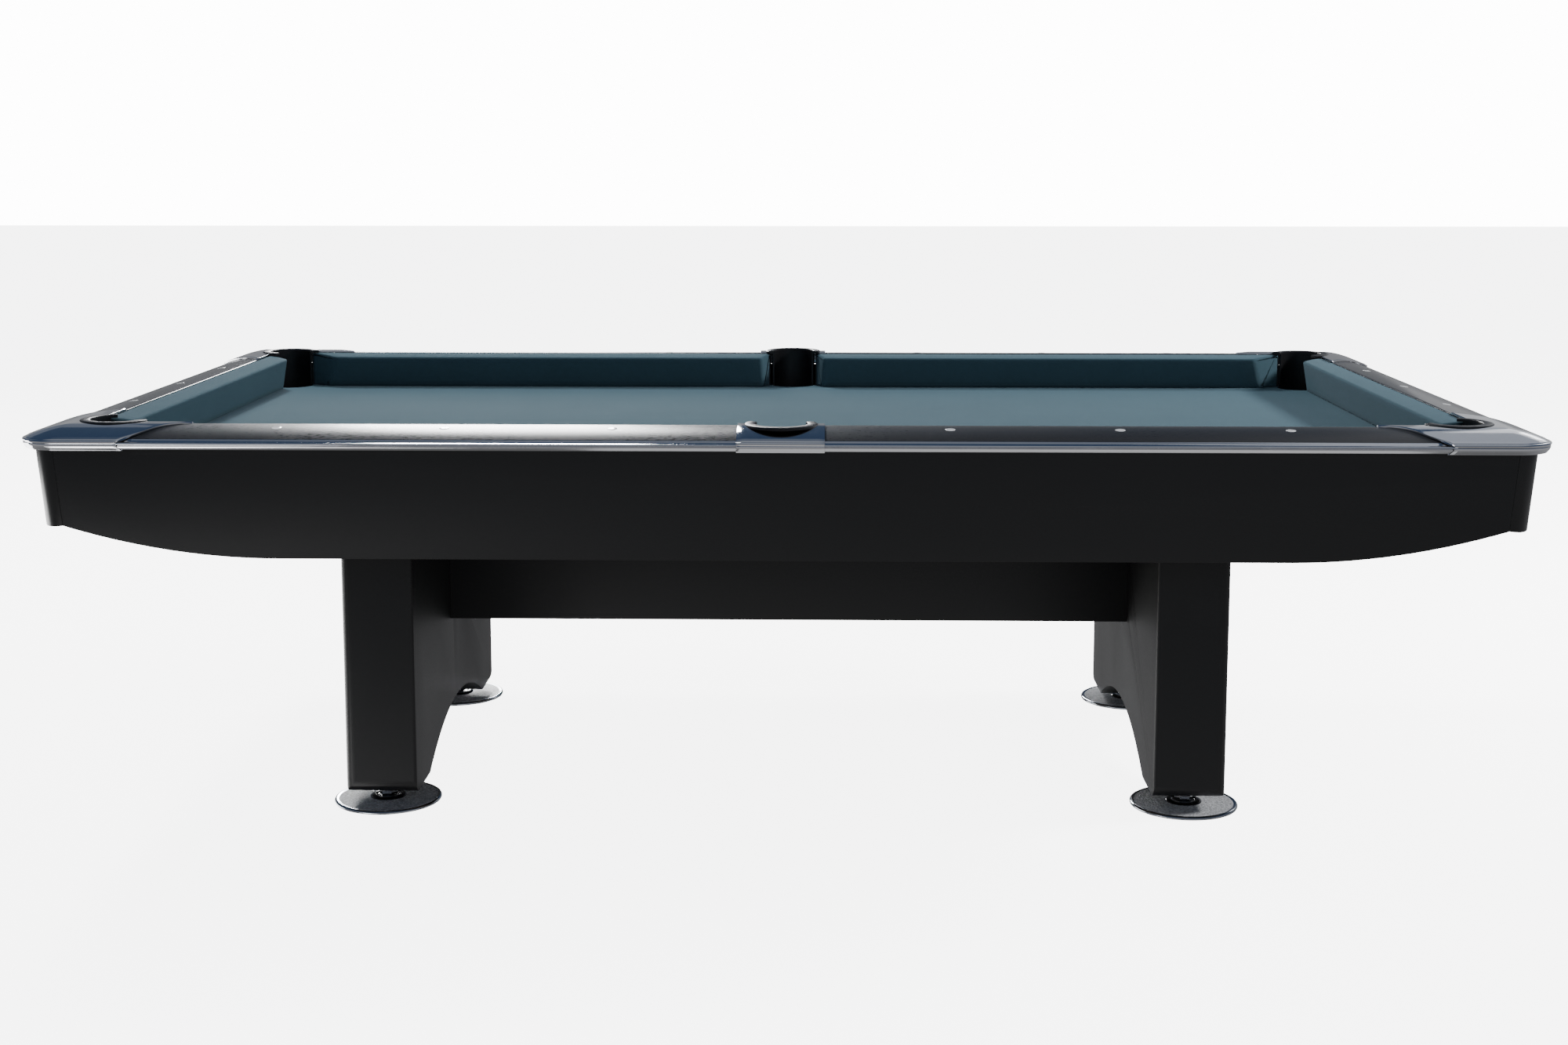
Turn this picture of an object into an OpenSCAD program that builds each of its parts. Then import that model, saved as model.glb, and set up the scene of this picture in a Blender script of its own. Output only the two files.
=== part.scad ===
// Nine-foot pool table: three slates on a wooden frame, two pedestals joined by a stretcher,
// deep cloth-covered cushions, crowned rails with metal trim, cast metal pocket corners,
// six moulded drop pockets and four screw feet that level it.
// +X runs along the table, +Y across it and +Z up. The origin is on the floor under the middle.

/* [Playing field] */
// Length of the field between the cushion noses
field_l = 2540; // [2100:10:3100]
// Width of the field between the cushion noses
field_w = 1270; // [1050:10:1550]
// Height of the cloth above the floor
bed_h = 743; // [690:1:890]
// Thickness of the bed cloth
cloth_t = 1; // [0.8:0.1:2]
// Thickness of the slates
slate_t = 30; // [22:1:50]
// How far the slates reach under the rails, from the nose line
slate_reach = 95; // [88:1:98]
// Gap between neighbouring slates
slate_seam = 0.4; // [0.2:0.1:1]

/* [Cushions] */
// Depth of a cushion from its nose to the rail
cushion_w = 48; // [44:1:52]
// Height of the nose's top edge above the cloth
nose_rise = 75; // [66:1:77]
// How far the foot of the cushion's face lies behind its nose
cushion_undercut = 12; // [4:1:16]
// Radius of the nose
nose_r = 5; // [3:1:7]
// Gap between the cushion's underside and the cloth
cushion_gap = 0.3; // [0.2:0.1:1]

/* [Rails] */
// Width of a rail from the cushion nose to the outer edge
rail_w = 165; // [160:1:190]
// Height of the rail's inner edge above the cloth
cap_rise = 81.5; // [80:0.5:84]
// Height of the rail's outer edge above the cloth
cap_edge_rise = 65; // [62:1:70]
// Depth of the metal trim outside the wooden rail
trim_w = 18; // [16:1:20]
// Height of the trim
trim_h = 19; // [17:1:22]
// Height of the ledge that the aprons hang from, above the cloth
ledge_rise = 46; // [40:1:48]
// Radius of a sight
sight_r = 9.5; // [5:0.5:10]
// Distance of the sights from the nose line
sight_setback = 90; // [80:1:95]
// Thickness of a sight
sight_t = 4; // [3:0.5:6]

/* [Pockets] */
// How far a long cushion's tip lies from the corner of the field
long_tip_gap = 110; // [100:1:120]
// How far an end cushion's tip lies from the corner of the field
short_tip_gap = 50; // [44:1:60]
// Mouth of a side pocket between the cushion tips
side_mouth = 158; // [150:1:166]
// Angle of a long cushion's corner end to its nose line
long_facing = 33.5; // [32:0.5:40]
// Angle of an end cushion's corner end to its nose line
short_facing = 73; // [68:1:80]
// Angle of a side cushion end to the square
side_facing = 23.5; // [20:0.5:26]
// How far a corner pocket's axis lies behind the end nose line
corner_setback_end = 9; // [6:1:14]
// How far a corner pocket's axis lies behind the long nose line
corner_setback = 20; // [16:1:24]
// How far a side pocket's axis lies behind its nose line
side_setback = 65; // [62:1:68]
// Inner radius of a pocket
pocket_r = 50; // [47:1:53]
// Wall of a pocket
pocket_wall = 4; // [3:0.5:5]
// Outer radius of the pocket's rim
rim_r = 70; // [66:1:72]
// Thickness of the pocket's rim
rim_t = 6; // [4:0.5:8]
// Height of the rim's top above the cloth
rim_rise = 88.5; // [87:0.5:92]
// Depth of a pocket's floor below the cloth
pocket_depth = 98; // [90:1:100]
// Clearance between a pocket and the slate, rails and castings round it
pocket_gap = 1; // [0.5:0.5:2]

/* [Castings] */
// Height of a casting's top above the cloth
cast_rise = 86; // [84:0.5:87]
// Wall of a casting
cast_t = 8; // [6:1:9]
// Radius of the table's corners in plan
corner_r = 80; // [60:1:90]
// Reach of a corner casting's arm along the outer edge, from the square corner
cast_arm_outer = 198; // [185:1:230]
// Reach of the same arm along the inner edge
cast_arm_inner = 313; // [290:1:340]
// Half the length of a side casting
side_cast_half = 82; // [78:1:100]

/* [Cabinet] */
// Thickness of the aprons and corner posts
apron_t = 22; // [18:1:26]
// Height of an apron at its middle
apron_h = 211; // [190:1:230]
// How far the aprons stand in from the table's outer edge at their top
apron_inset = 26; // [24:1:28]
// Inward lean of the aprons, as run over height
apron_lean = 0.07; // [0:0.01:0.1]
// Rise of an apron's lower edge at its ends
apron_rise = 62; // [30:1:70]
// Length of the rising stretch of an apron's lower edge
apron_sweep = 402; // [300:1:480]
// Outer radius of a corner post
post_r = 45; // [35:1:50]
// How far a post's tip hangs below the ends of the aprons
post_drop = 4; // [0:1:10]

/* [Frame] */
// Height of the slate frame's beams
frame_h = 100; // [80:1:110]
// Thickness of the frame's outer beams
frame_t = 34; // [28:1:40]
// Gap between the nose line above and the outside of the long beams
frame_inset = 1; // [0:1:10]
// Gap between the nose line above and the outside of the end beams
frame_end_inset = 48; // [44:1:80]
// Width of the cross beams
cross_w = 100; // [60:1:120]

/* [Pedestals] */
// Distance of a pedestal's middle from the table's middle
pedestal_x = 825; // [760:1:860]
// Width of a pedestal along the table
pedestal_w = 147; // [110:1:160]
// Depth of a pedestal across the table
pedestal_d = 972; // [820:1:990]
// Height of a pedestal's underside above the floor
pedestal_clear = 34; // [34:1:45]
// Wall of a pedestal's broad faces
pedestal_wall = 22; // [18:1:30]
// Wall of a pedestal's narrow ends
pedestal_end_wall = 60; // [50:1:80]
// Radius of a pedestal's outer upright edges
pedestal_edge_r = 22; // [10:1:30]
// Radius of a pedestal's inner upright edges
pedestal_inner_r = 6; // [3:1:10]
// Radius of a pedestal's lower corners in its side view
pedestal_toe_r = 26; // [8:1:32]
// Radius of a pedestal's outer lower edge in its front view
pedestal_sole_r = 15; // [6:1:20]
// Height of the arch under a pedestal
arch_h = 82; // [40:1:90]
// Half the span of the arch under a pedestal
arch_half = 338; // [250:1:345]
// Depth of the stretcher across the table
stretcher_d = 130; // [80:1:160]
// Height of the stretcher's underside above the floor
stretcher_clear = 304; // [250:1:340]
// Height of the stretcher
stretcher_h = 271; // [200:1:280]

/* [Feet] */
// Distance of a foot from the table's long centre line
foot_y = 414; // [360:1:420]
// Radius of a foot's disc
foot_r = 110; // [80:1:120]
// Thickness of a foot's disc
foot_t = 8; // [6:1:10]
// Radius of the foot's hub
hub_r = 37; // [30:1:45]
// Height of the foot's hub above its disc
hub_h = 5; // [4:0.5:6]
// Radius of the spindle in its bushing
spindle_r = 10; // [7:0.5:12]
// Radius of the spindle's pivot in the hub
pivot_r = 12; // [8:0.5:15]
// Running clearance of both, on the radius
spindle_fit = 0.05; // [0.02:0.01:0.1]
// Half the width of the spindle's nut across its corners
nut_r = 19; // [16:0.5:22]
// Height of the nut
nut_h = 8; // [6:0.5:8]
// Wall of the bushing
bushing_wall = 6; // [4:0.5:8]
// How far a foot can be screwed in
foot_up = 10; // [2:1:10]
// Length of the spindle above the nut
spindle_l = 80; // [60:1:90]

/* [Fasteners] */
// Radius of a rail bolt
rail_bolt_r = 4; // [3:0.5:5]
// Radius of a frame or stretcher bolt
frame_bolt_r = 5; // [4:0.5:7]
// Clearance round a bolt
bolt_gap = 0.25; // [0.1:0.05:0.5]

/* [Hidden] */
$fn = 64;

black = [0.09, 0.09, 0.10];
cloth_blue = [0.33, 0.45, 0.52];
bright_metal = [0.80, 0.81, 0.83];
wood = [0.62, 0.48, 0.33];
slate_grey = [0.35, 0.37, 0.39];

// Half sizes in plan
field_x = field_l / 2;
field_y = field_w / 2;
outer_x = field_x + rail_w;
outer_y = field_y + rail_w;
slate_x = field_x + slate_reach;
slate_y = field_y + slate_reach;
frame_x = field_x - frame_end_inset;
frame_y = field_y - frame_inset;

// Heights above the floor
slate_top = bed_h - cloth_t;
slate_bottom = slate_top - slate_t;
frame_bottom = slate_bottom - frame_h;
ledge_z = bed_h + ledge_rise;
cast_top = bed_h + cast_rise;
cast_skirt_z = ledge_z - 1.3;
pocket_floor_z = bed_h - pocket_depth;
rim_top = bed_h + rim_rise;

// Distances from the nose line outwards
wood_edge = rail_w - trim_w - 1;
trim_edge = rail_w - 1;
apron_face = rail_w - apron_inset;
apron_back = apron_face - apron_t;
rail_back = apron_back - 1;
inner_span = rail_w - cushion_w;

// Pocket axes and cut radii
pocket_outer = pocket_r + pocket_wall;
pocket_hole = pocket_outer + pocket_gap;
notch_half = pocket_hole - 3;
corner_axis = [field_x + corner_setback_end, field_y + corner_setback];
side_axis = [0, field_y + side_setback];
long_tip = field_x - long_tip_gap;
long_run = cushion_w / tan(long_facing);
short_tip = field_y - short_tip_gap;
short_run = cushion_w / tan(short_facing);
side_run = cushion_w * tan(side_facing);
side_tip = side_mouth / 2;

// Slate joints and cross beams
seam_x = slate_x / 3;
cross_xs = [-pedestal_x, -seam_x, 0, seam_x, pedestal_x];

// Feet
hub_top = foot_t + hub_h;
nut_bottom = hub_top + 0.3;
nut_top = nut_bottom + nut_h;
spindle_top = nut_top + spindle_l;
bushing_r = spindle_r + bushing_wall;
bushing_flange_t = 2;
bushing_flange_r = bushing_r + 8;
bushing_top = spindle_top + 8;
spindle_room_top = spindle_top + foot_up + 10;
cavity_floor = spindle_room_top + 20;

// Sights and bolts along a long rail, and across an end rail
sight_pitch = field_l / 8;
sight_pitch_y = field_w / 4;
bolt_us = [for (k = [1 : 3]) field_x * (0.28 * k - 0.04)];
bolt_us_end = [-field_y * 0.47, 0, field_y * 0.47];
rail_bolt_q = slate_reach - 15;
rail_bolt_grip = 48;
far = 4000;

// A section drawn as (distance outwards, height), drawn out from u0 to u1
module bar(u0, u1, section) {
    translate([u0, 0, 0]) rotate([90, 0, 90]) linear_extrude(u1 - u0) polygon(section);
}

// A plan shape drawn up through the whole table
module prism(z0 = 0) {
    translate([0, 0, z0]) linear_extrude(2 * bed_h) children();
}

// Moves a piece drawn for the right rear quarter to the quarter (sx, sy)
module quarter(sx, sy) {
    rotate([0, 0, sx * sy > 0 ? (sx > 0 ? 0 : 180) : 0])
        if (sx * sy > 0) children();
        else if (sx < 0) mirror([1, 0, 0]) children();
        else mirror([0, 1, 0]) children();
}

// Moves a piece drawn along its own nose line to the long or the short side
module long_side() { translate([0, field_y, 0]) children(); }
module short_side(sx) {
    rotate([0, 0, sx > 0 ? 0 : 180]) translate([field_x, 0, 0]) rotate([0, 0, -90]) children();
}

// Rounded rectangle between two corners, with one radius on each side
module rounded_plate(x0, x1, y0, y1, r0, r1) {
    for (y = [y0 + r0, y1 - r0]) translate([x0 + r0, y]) circle(r0);
    for (y = [y0 + r1, y1 - r1]) translate([x1 - r1, y]) circle(r1);
    translate([x0, y0 + r0]) square([x1 - x0 - r1, y1 - y0 - 2 * r0]);
    translate([x0 + r0, y0 + r1]) square([x1 - x0 - r0, y1 - y0 - 2 * r1]);
    translate([x0 + r0, y0]) square([x1 - x0 - r0 - r1, y1 - y0]);
}

/* Sections: points of (distance outwards from the nose line, height) */

// Crown of the rail's top between its inner and outer edge
function crown(q) = bed_h + cap_rise
    - (cap_rise - cap_edge_rise) * pow((q - cushion_w) / (wood_edge - cushion_w), 2.4);

// Height of a sight's top
sight_z = crown(sight_setback) + 0.4;

rail_section = concat(
    [[rail_back - apron_lean * (ledge_z - bed_h), bed_h], [cushion_w, bed_h]],
    [for (k = [0 : 14]) let (q = cushion_w + (wood_edge - cushion_w) * k / 14) [q, crown(q)]],
    [[wood_edge, ledge_z], [rail_back, ledge_z]]);

cushion_section = concat(
    [[cushion_w, bed_h + cushion_gap], [cushion_undercut, bed_h + cushion_gap]],
    [for (a = [180 : -15 : 105])
        [nose_r + nose_r * cos(a), bed_h + nose_rise - nose_r + nose_r * sin(a)]],
    [[cushion_w, bed_h + cap_rise - 0.5]]);

trim_top = bed_h + cap_edge_rise + 1;
trim_section = [
    [wood_edge, trim_top - trim_h], [wood_edge, trim_top], [trim_edge - 12, trim_top + 1],
    [trim_edge - 5, trim_top - 1], [trim_edge - 1, trim_top - 3], [trim_edge, trim_top - 5],
    [trim_edge - 1, trim_top - 7.5], [trim_edge - 3, trim_top - 9],
    [trim_edge - 9, trim_top - trim_h]];

// Top of a casting: flat beside the cushion, then an arc down to the lip
cast_flat = cushion_w + 22;
cast_lip = rail_w - 12;
cast_fall = 17;
cast_arc_r = (pow(cast_lip - cast_flat, 2) + pow(cast_fall, 2)) / (2 * cast_fall);
function cast_z(q) = cast_top
    - (q < cast_flat ? 0 : cast_arc_r - sqrt(pow(cast_arc_r, 2) - pow(q - cast_flat, 2)));

function cast_top_line(q0, drop) =
    [for (k = [0 : 12]) let (q = q0 + (cast_lip - q0) * k / 12) [q, cast_z(q) - drop]];

// Casting section from the distance q0 outwards to the skirt
function cast_section(q0) = concat(
    cast_top_line(q0, 0),
    [[rail_w - 4.5, cast_top - 20.5], [rail_w - 1, cast_top - 23], [rail_w, cast_top - 26],
     [rail_w - 8, cast_skirt_z], [rail_w - 13, cast_skirt_z], [rail_w - 6.5, cast_top - 27.5]],
    [for (p = [12 : -1 : 0]) cast_top_line(q0, cast_t)[p]]);

// Everything above the underside of a casting, cut away from the rails
cast_space = concat(
    [[cushion_w - 5, cast_top - cast_t]], cast_top_line(cushion_w, cast_t),
    [[far, cast_top - 30], [far, far], [cushion_w - 5, far]]);

/* Plans */

// Curved joint between a casting and a rail: reach along the rail at the distance b inwards
function cast_reach(b) = let (t = b / inner_span)
    cast_arm_outer + (cast_arm_inner - cast_arm_outer) * (t + 0.045 * sin(360 * t));

// Outline of a corner casting, measured inwards from the square corner
cast_steps = 12;
cast_outline = concat(
    [[-1, -1], [cast_arm_outer, -1]],
    [for (k = [0 : cast_steps]) let (b = inner_span * k / cast_steps) [cast_reach(b), b]],
    [[inner_span, inner_span]],
    [for (k = [cast_steps : -1 : 0]) let (b = inner_span * k / cast_steps) [b, cast_reach(b)]],
    [[-1, cast_arm_outer]]);

module cast_plan() {
    translate([outer_x, outer_y]) rotate(180) polygon(cast_outline);
}

module side_cast_plan() {
    translate([-side_cast_half, field_y + cushion_w])
        square([2 * side_cast_half, rail_w]);
}

// Pocket cut-outs of the slates and the cloth
module pocket_cuts() {
    for (sx = [-1, 1], sy = [-1, 1])
        translate([sx * corner_axis.x, sy * corner_axis.y]) {
            circle(pocket_hole);
            rotate(atan2(sy, sx)) translate([0, -notch_half]) square([far, 2 * notch_half]);
        }
    for (sy = [-1, 1]) translate([0, sy * side_axis.y]) circle(pocket_hole);
}

// Places of the rail bolts, in plan
bolt_spots = concat(
    [for (u = bolt_us, sx = [-1, 1], sy = [-1, 1]) [sx * u, sy * (field_y + rail_bolt_q)]],
    [for (u = bolt_us_end, sx = [-1, 1]) [sx * (field_x + rail_bolt_q), u]]);

module bed_plan() {
    difference() {
        square([2 * slate_x, 2 * slate_y], center = true);
        pocket_cuts();
        for (p = bolt_spots) translate(p) circle(rail_bolt_r + 1);
    }
}

/* Rails, cushions and trim, drawn along their own nose line */

// Plan of a long cushion or rail from the side pocket to the corner pocket
module long_plan(depth) {
    polygon([
        [side_tip, 0], [long_tip, 0],
        [long_tip + long_run, cushion_w], [long_tip + long_run, depth],
        [side_tip - side_run, depth], [side_tip - side_run, cushion_w]]);
}

module short_plan(depth) {
    back = short_tip + short_run;
    polygon([
        [-short_tip, 0], [short_tip, 0], [back, cushion_w], [back, depth],
        [-back, depth], [-back, cushion_w]]);
}

module cushion_long() {
    color(cloth_blue) long_side() intersection() {
        bar(0, field_x + rail_w, cushion_section);
        prism() long_plan(cushion_w);
    }
}

module cushion_short() {
    color(cloth_blue) intersection() {
        bar(-outer_y, outer_y, cushion_section);
        prism() short_plan(cushion_w);
    }
}

// Holes for the sights and the bolts of one rail
module rail_holes(sights, bolts) {
    for (u = sights) translate([u, sight_setback, sight_z - sight_t]) cylinder(h = 20, r = sight_r);
    for (u = bolts) translate([u, rail_bolt_q, bed_h - 1])
        cylinder(h = rail_bolt_grip + 2, r = rail_bolt_r + bolt_gap);
}

module rail_long() {
    color(black) difference() {
        long_side() intersection() {
            bar(0, field_x + rail_w, rail_section);
            prism() long_plan(rail_w);
        }
        intersection() {
            prism() { cast_plan(); side_cast_plan(); }
            long_side() bar(-far, far, cast_space);
        }
        prism() {
            translate(corner_axis) circle(pocket_hole);
            translate(side_axis) circle(pocket_hole);
        }
        long_side() rail_holes([for (k = [1 : 3]) sight_pitch * k], bolt_us);
    }
}

module rail_short() {
    color(black) difference() {
        intersection() {
            bar(-outer_y, outer_y, rail_section);
            prism() short_plan(rail_w);
        }
        intersection() {
            end_cast_plans();
            bar(-far, far, cast_space);
        }
        prism() for (s = [-1, 1])
            translate([s * corner_axis.y, corner_setback_end]) circle(pocket_hole);
        rail_holes([for (k = [-1 : 1]) sight_pitch_y * k], bolt_us_end);
    }
}

// Both corner castings' plans as an end rail sees them
module end_cast_plans() {
    prism() for (s = [0, 1]) mirror([s, 0])
        translate([outer_y, rail_w]) rotate(180) polygon(cast_outline);
}

module trim_long() {
    color(bright_metal) difference() {
        long_side() bar(side_cast_half, field_x + rail_w, trim_section);
        prism() cast_plan();
    }
}

module trim_short() {
    color(bright_metal) difference() {
        bar(-outer_y, outer_y, trim_section);
        end_cast_plans();
    }
}

/* Castings and pockets */

// Hole and seat for a pocket, about its own axis
module pocket_seat() {
    translate([0, 0, bed_h]) cylinder(h = far, r = pocket_hole);
    translate([0, 0, rim_top - rim_t]) cylinder(h = far, r = rim_r + 0.3);
}

module corner_casting() {
    edge = rail_w - corner_r;
    color(bright_metal) difference() {
        intersection() {
            union() {
                long_side() bar(0, outer_x - corner_r, cast_section(cushion_w));
                short_side(1) bar(corner_r - outer_y, 0, cast_section(cushion_w));
                translate([outer_x - corner_r, outer_y - corner_r, 0])
                    rotate_extrude(angle = 90)
                        polygon([for (p = cast_section(edge)) [p.x - edge, p.y]]);
            }
            prism() cast_plan();
        }
        translate([corner_axis.x, corner_axis.y, 0]) pocket_seat();
    }
}

module side_casting() {
    color(bright_metal) difference() {
        long_side() bar(-side_cast_half, side_cast_half, cast_section(cushion_w));
        translate([side_axis.x, side_axis.y, 0]) pocket_seat();
    }
}

// Sector of the given angle about a direction, wide enough to cut a whole pocket
module sector(direction, angle) {
    reach = 6 * rim_r;
    polygon(concat([[0, 0]], [for (k = [-1 : 1]) let (a = direction + k * angle / 2)
        [reach * cos(a), reach * sin(a)]]));
}

// A moulded pocket about its own axis: bucket below the bed, back wall and rim above it
module pocket_body(middle, wall_sweep, rim_sweep) {
    wall_foot = slate_top - 2;
    rim_foot = rim_top - rim_t;
    color(black) difference() {
        rotate_extrude() polygon([
            [0, pocket_floor_z], [pocket_outer, pocket_floor_z], [pocket_outer, rim_foot],
            [rim_r, rim_foot], [rim_r, rim_top], [pocket_r, rim_top],
            [pocket_r, pocket_floor_z + pocket_wall], [0, pocket_floor_z + pocket_wall]]);
        translate([0, 0, wall_foot]) linear_extrude(rim_foot - wall_foot)
            sector(middle + 180, 360 - wall_sweep);
        translate([0, 0, rim_foot - 1]) linear_extrude(rim_t + 2)
            sector(middle + 180, 360 - rim_sweep);
    }
}

module corner_pocket() {
    translate([corner_axis.x, corner_axis.y, 0]) pocket_body(45, 206, 234);
}

module side_pocket() {
    translate([side_axis.x, side_axis.y, 0]) pocket_body(90, 216, 224);
}

/* Cabinet */

// Rise of an apron's lower edge at the distance d from its end
function sweep_up(d) = d > apron_sweep ? 0 : apron_rise * pow(1 - d / apron_sweep, 2);

// Front view of an apron whose top half length is given
function apron_outline(half) = let (lean = apron_lean * (apron_h - apron_rise), steps = 14) concat(
    [[-half, ledge_z], [half, ledge_z], [half - lean, ledge_z - apron_h + apron_rise]],
    [for (k = [1 : steps]) let (d = apron_sweep * k / steps)
        [half - lean - d, ledge_z - apron_h + sweep_up(d)]],
    [for (k = [steps : -1 : 0]) let (d = apron_sweep * k / steps)
        [-half + lean + d, ledge_z - apron_h + sweep_up(d)]]);

// Leaning board along its own nose line
module apron(half) {
    run = apron_lean * apron_h;
    intersection() {
        bar(-half, half, [
            [apron_back, ledge_z], [apron_back - run, ledge_z - apron_h],
            [apron_face - run, ledge_z - apron_h], [apron_face, ledge_z]]);
        translate([0, rail_w, 0]) rotate([90, 0, 0])
            linear_extrude(2 * rail_w) polygon(apron_outline(half));
    }
}

module side_apron() {
    color(black) difference() {
        long_side() apron(outer_x - apron_inset - post_r);
        translate([side_axis.x, side_axis.y, 0]) cylinder(h = 2 * bed_h, r = pocket_hole + 1);
    }
}

module end_apron() {
    color(black) apron(outer_y - apron_inset - post_r);
}

// Quarter disc that leans inwards, from the ledge down to the post's tip
module post_core(r) {
    h = apron_h - apron_rise + post_drop;
    hull() {
        for (level = [0, 1])
            translate([-level * apron_lean * h, -level * apron_lean * h, ledge_z - level * h])
                intersection() {
                    translate([0, 0, -0.01]) cylinder(h = 0.01, r = r, $fn = 32);
                    translate([0, 0, -1]) cube([r + 1, r + 1, 2]);
                }
    }
}

module corner_post() {
    reach = post_r * (1 - sqrt(0.5)) * sqrt(2);
    end_z = ledge_z - apron_h + apron_rise;
    lean = apron_lean * (apron_h - apron_rise);
    color(black) translate([outer_x - apron_inset - post_r, outer_y - apron_inset - post_r, 0])
        difference() {
            post_core(post_r);
            translate([0, 0, 0.5]) post_core(post_r - apron_t);
            translate([-lean, -lean, end_z - post_drop - 2]) cylinder(h = 3, r = post_r - apron_t);
            translate([post_r * 0.5 - lean, post_r * 0.5 - lean, end_z]) rotate([0, 0, 45])
                rotate([0, atan(post_drop / reach), 0]) translate([-100, -100, -60])
                    cube([200, 200, 60]);
        }
}

/* Bed and frame */

module slate(x0, x1) {
    color(slate_grey) translate([0, 0, slate_bottom]) linear_extrude(slate_t) intersection() {
        bed_plan();
        translate([x0, -slate_y]) square([x1 - x0, 2 * slate_y]);
    }
}

module frame_beam() {
    color(wood) translate([-frame_x, frame_y - frame_t, frame_bottom])
        cube([2 * frame_x, frame_t, frame_h]);
}

module frame_bolt_holes() {
    for (sx = [-1, 1], sy = [-1, 1])
        translate([sx * pedestal_x, sy * frame_bolt_y, frame_bottom - frame_bolt_grip]) {
            cylinder(h = far, r = frame_bolt_r + bolt_gap);
            translate([0, 0, frame_bolt_grip + frame_h - 12]) cylinder(h = 20, r = 13);
        }
}

/* Pedestals and feet */

frame_bolt_y = pedestal_d / 2 - pedestal_end_wall / 2;
frame_bolt_grip = 60;
stretcher_bolt_grip = 45;
stretcher_bolt_zs = [stretcher_clear + 60, stretcher_clear + stretcher_h - 60];
stretcher_bolt_y = stretcher_d / 2 - 30;

// Side view of a pedestal: rounded toes and an arch between the feet
pedestal_outline = let (half = pedestal_d / 2, r = pedestal_toe_r) concat(
    [[-half, frame_bottom]],
    [for (a = [180 : 15 : 270]) [-half + r + r * cos(a), pedestal_clear + r + r * sin(a)]],
    [for (k = [-12 : 12]) let (t = k / 12) [arch_half * t, pedestal_clear + arch_h * (1 - t * t)]],
    [for (a = [270 : 15 : 360]) [half - r + r * cos(a), pedestal_clear + r + r * sin(a)]],
    [[half, frame_bottom]]);

module pedestal() {
    inner = pedestal_x - pedestal_w / 2;
    outer = pedestal_x + pedestal_w / 2;
    half = pedestal_d / 2;
    color(black) difference() {
        intersection() {
            bar(inner, outer, pedestal_outline);
            prism() rounded_plate(inner, outer, -half, half, pedestal_inner_r, pedestal_edge_r);
            rotate([90, 0, 0]) linear_extrude(2 * pedestal_d, center = true)
                polygon(concat(
                    [[inner - 1, frame_bottom + 1], [inner - 1, pedestal_clear]],
                    [for (a = [270 : 15 : 360]) [
                        outer - pedestal_sole_r + pedestal_sole_r * cos(a),
                        pedestal_clear + pedestal_sole_r + pedestal_sole_r * sin(a)]],
                    [[outer, frame_bottom + 1]]));
        }
        translate([inner + pedestal_wall, -half + pedestal_end_wall, cavity_floor])
            cube([pedestal_w - 2 * pedestal_wall, pedestal_d - 2 * pedestal_end_wall, bed_h]);
        for (sy = [-1, 1]) translate([pedestal_x, sy * foot_y, 0]) {
            cylinder(h = bushing_top, r = bushing_r);
            cylinder(h = spindle_room_top, r = spindle_r + 1.5);
        }
        frame_bolt_holes();
        for (y = [-stretcher_bolt_y, stretcher_bolt_y], z = stretcher_bolt_zs)
            translate([inner - 1, y, z]) rotate([0, 90, 0])
                cylinder(h = pedestal_wall + 2, r = frame_bolt_r + bolt_gap);
    }
}

module foot() {
    color([0.45, 0.46, 0.48]) difference() {
        union() {
            cylinder(h = foot_t, r = foot_r);
            cylinder(h = hub_top, r = hub_r);
        }
        translate([0, 0, foot_t / 2]) cylinder(h = hub_top, r = pivot_r + spindle_fit);
    }
}

module spindle() {
    color(bright_metal) {
        translate([0, 0, foot_t / 2 + 0.3]) cylinder(h = nut_bottom - foot_t / 2, r = pivot_r);
        translate([0, 0, nut_bottom]) cylinder(h = nut_h, r = nut_r, $fn = 6);
        translate([0, 0, nut_top - 1]) cylinder(h = spindle_l + 1, r = spindle_r);
    }
}

module bushing() {
    difference() {
        union() {
            translate([0, 0, pedestal_clear - bushing_flange_t])
                cylinder(h = bushing_flange_t, r = bushing_flange_r);
            translate([0, 0, pedestal_clear - 1])
                cylinder(h = bushing_top - pedestal_clear + 1, r = bushing_r);
        }
        cylinder(h = far, r = spindle_r + spindle_fit);
    }
}

module at_foot(sx, sy) { translate([sx * pedestal_x, sy * foot_y, 0]) children(); }

/* The nodes */

module side_apron_front() { quarter(1, -1) side_apron(); }
module side_apron_rear() { side_apron(); }
module end_apron_left() { short_side(-1) end_apron(); }
module end_apron_right() { short_side(1) end_apron(); }

module corner_post_front_left() { quarter(-1, -1) corner_post(); }
module corner_post_front_right() { quarter(1, -1) corner_post(); }
module corner_post_rear_left() { quarter(-1, 1) corner_post(); }
module corner_post_rear_right() { quarter(1, 1) corner_post(); }

module frame_beam_front() { quarter(1, -1) frame_beam(); }
module frame_beam_rear() { frame_beam(); }
module frame_cross_beams() {
    reach = frame_y - frame_t;
    color(wood) difference() {
        translate([0, 0, frame_bottom]) linear_extrude(frame_h) {
            for (x = cross_xs) translate([x - cross_w / 2, -reach]) square([cross_w, 2 * reach]);
            for (sx = [-1, 1]) translate([sx * (frame_x - frame_t / 2) - frame_t / 2, -reach])
                square([frame_t, 2 * reach]);
        }
        frame_bolt_holes();
    }
}

module slate_left() { slate(-slate_x, -seam_x - slate_seam / 2); }
module slate_middle() { slate(-seam_x + slate_seam / 2, seam_x - slate_seam / 2); }
module slate_right() { slate(seam_x + slate_seam / 2, slate_x); }
module bed_cloth() {
    color(cloth_blue) translate([0, 0, slate_top]) linear_extrude(cloth_t) bed_plan();
}

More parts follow.
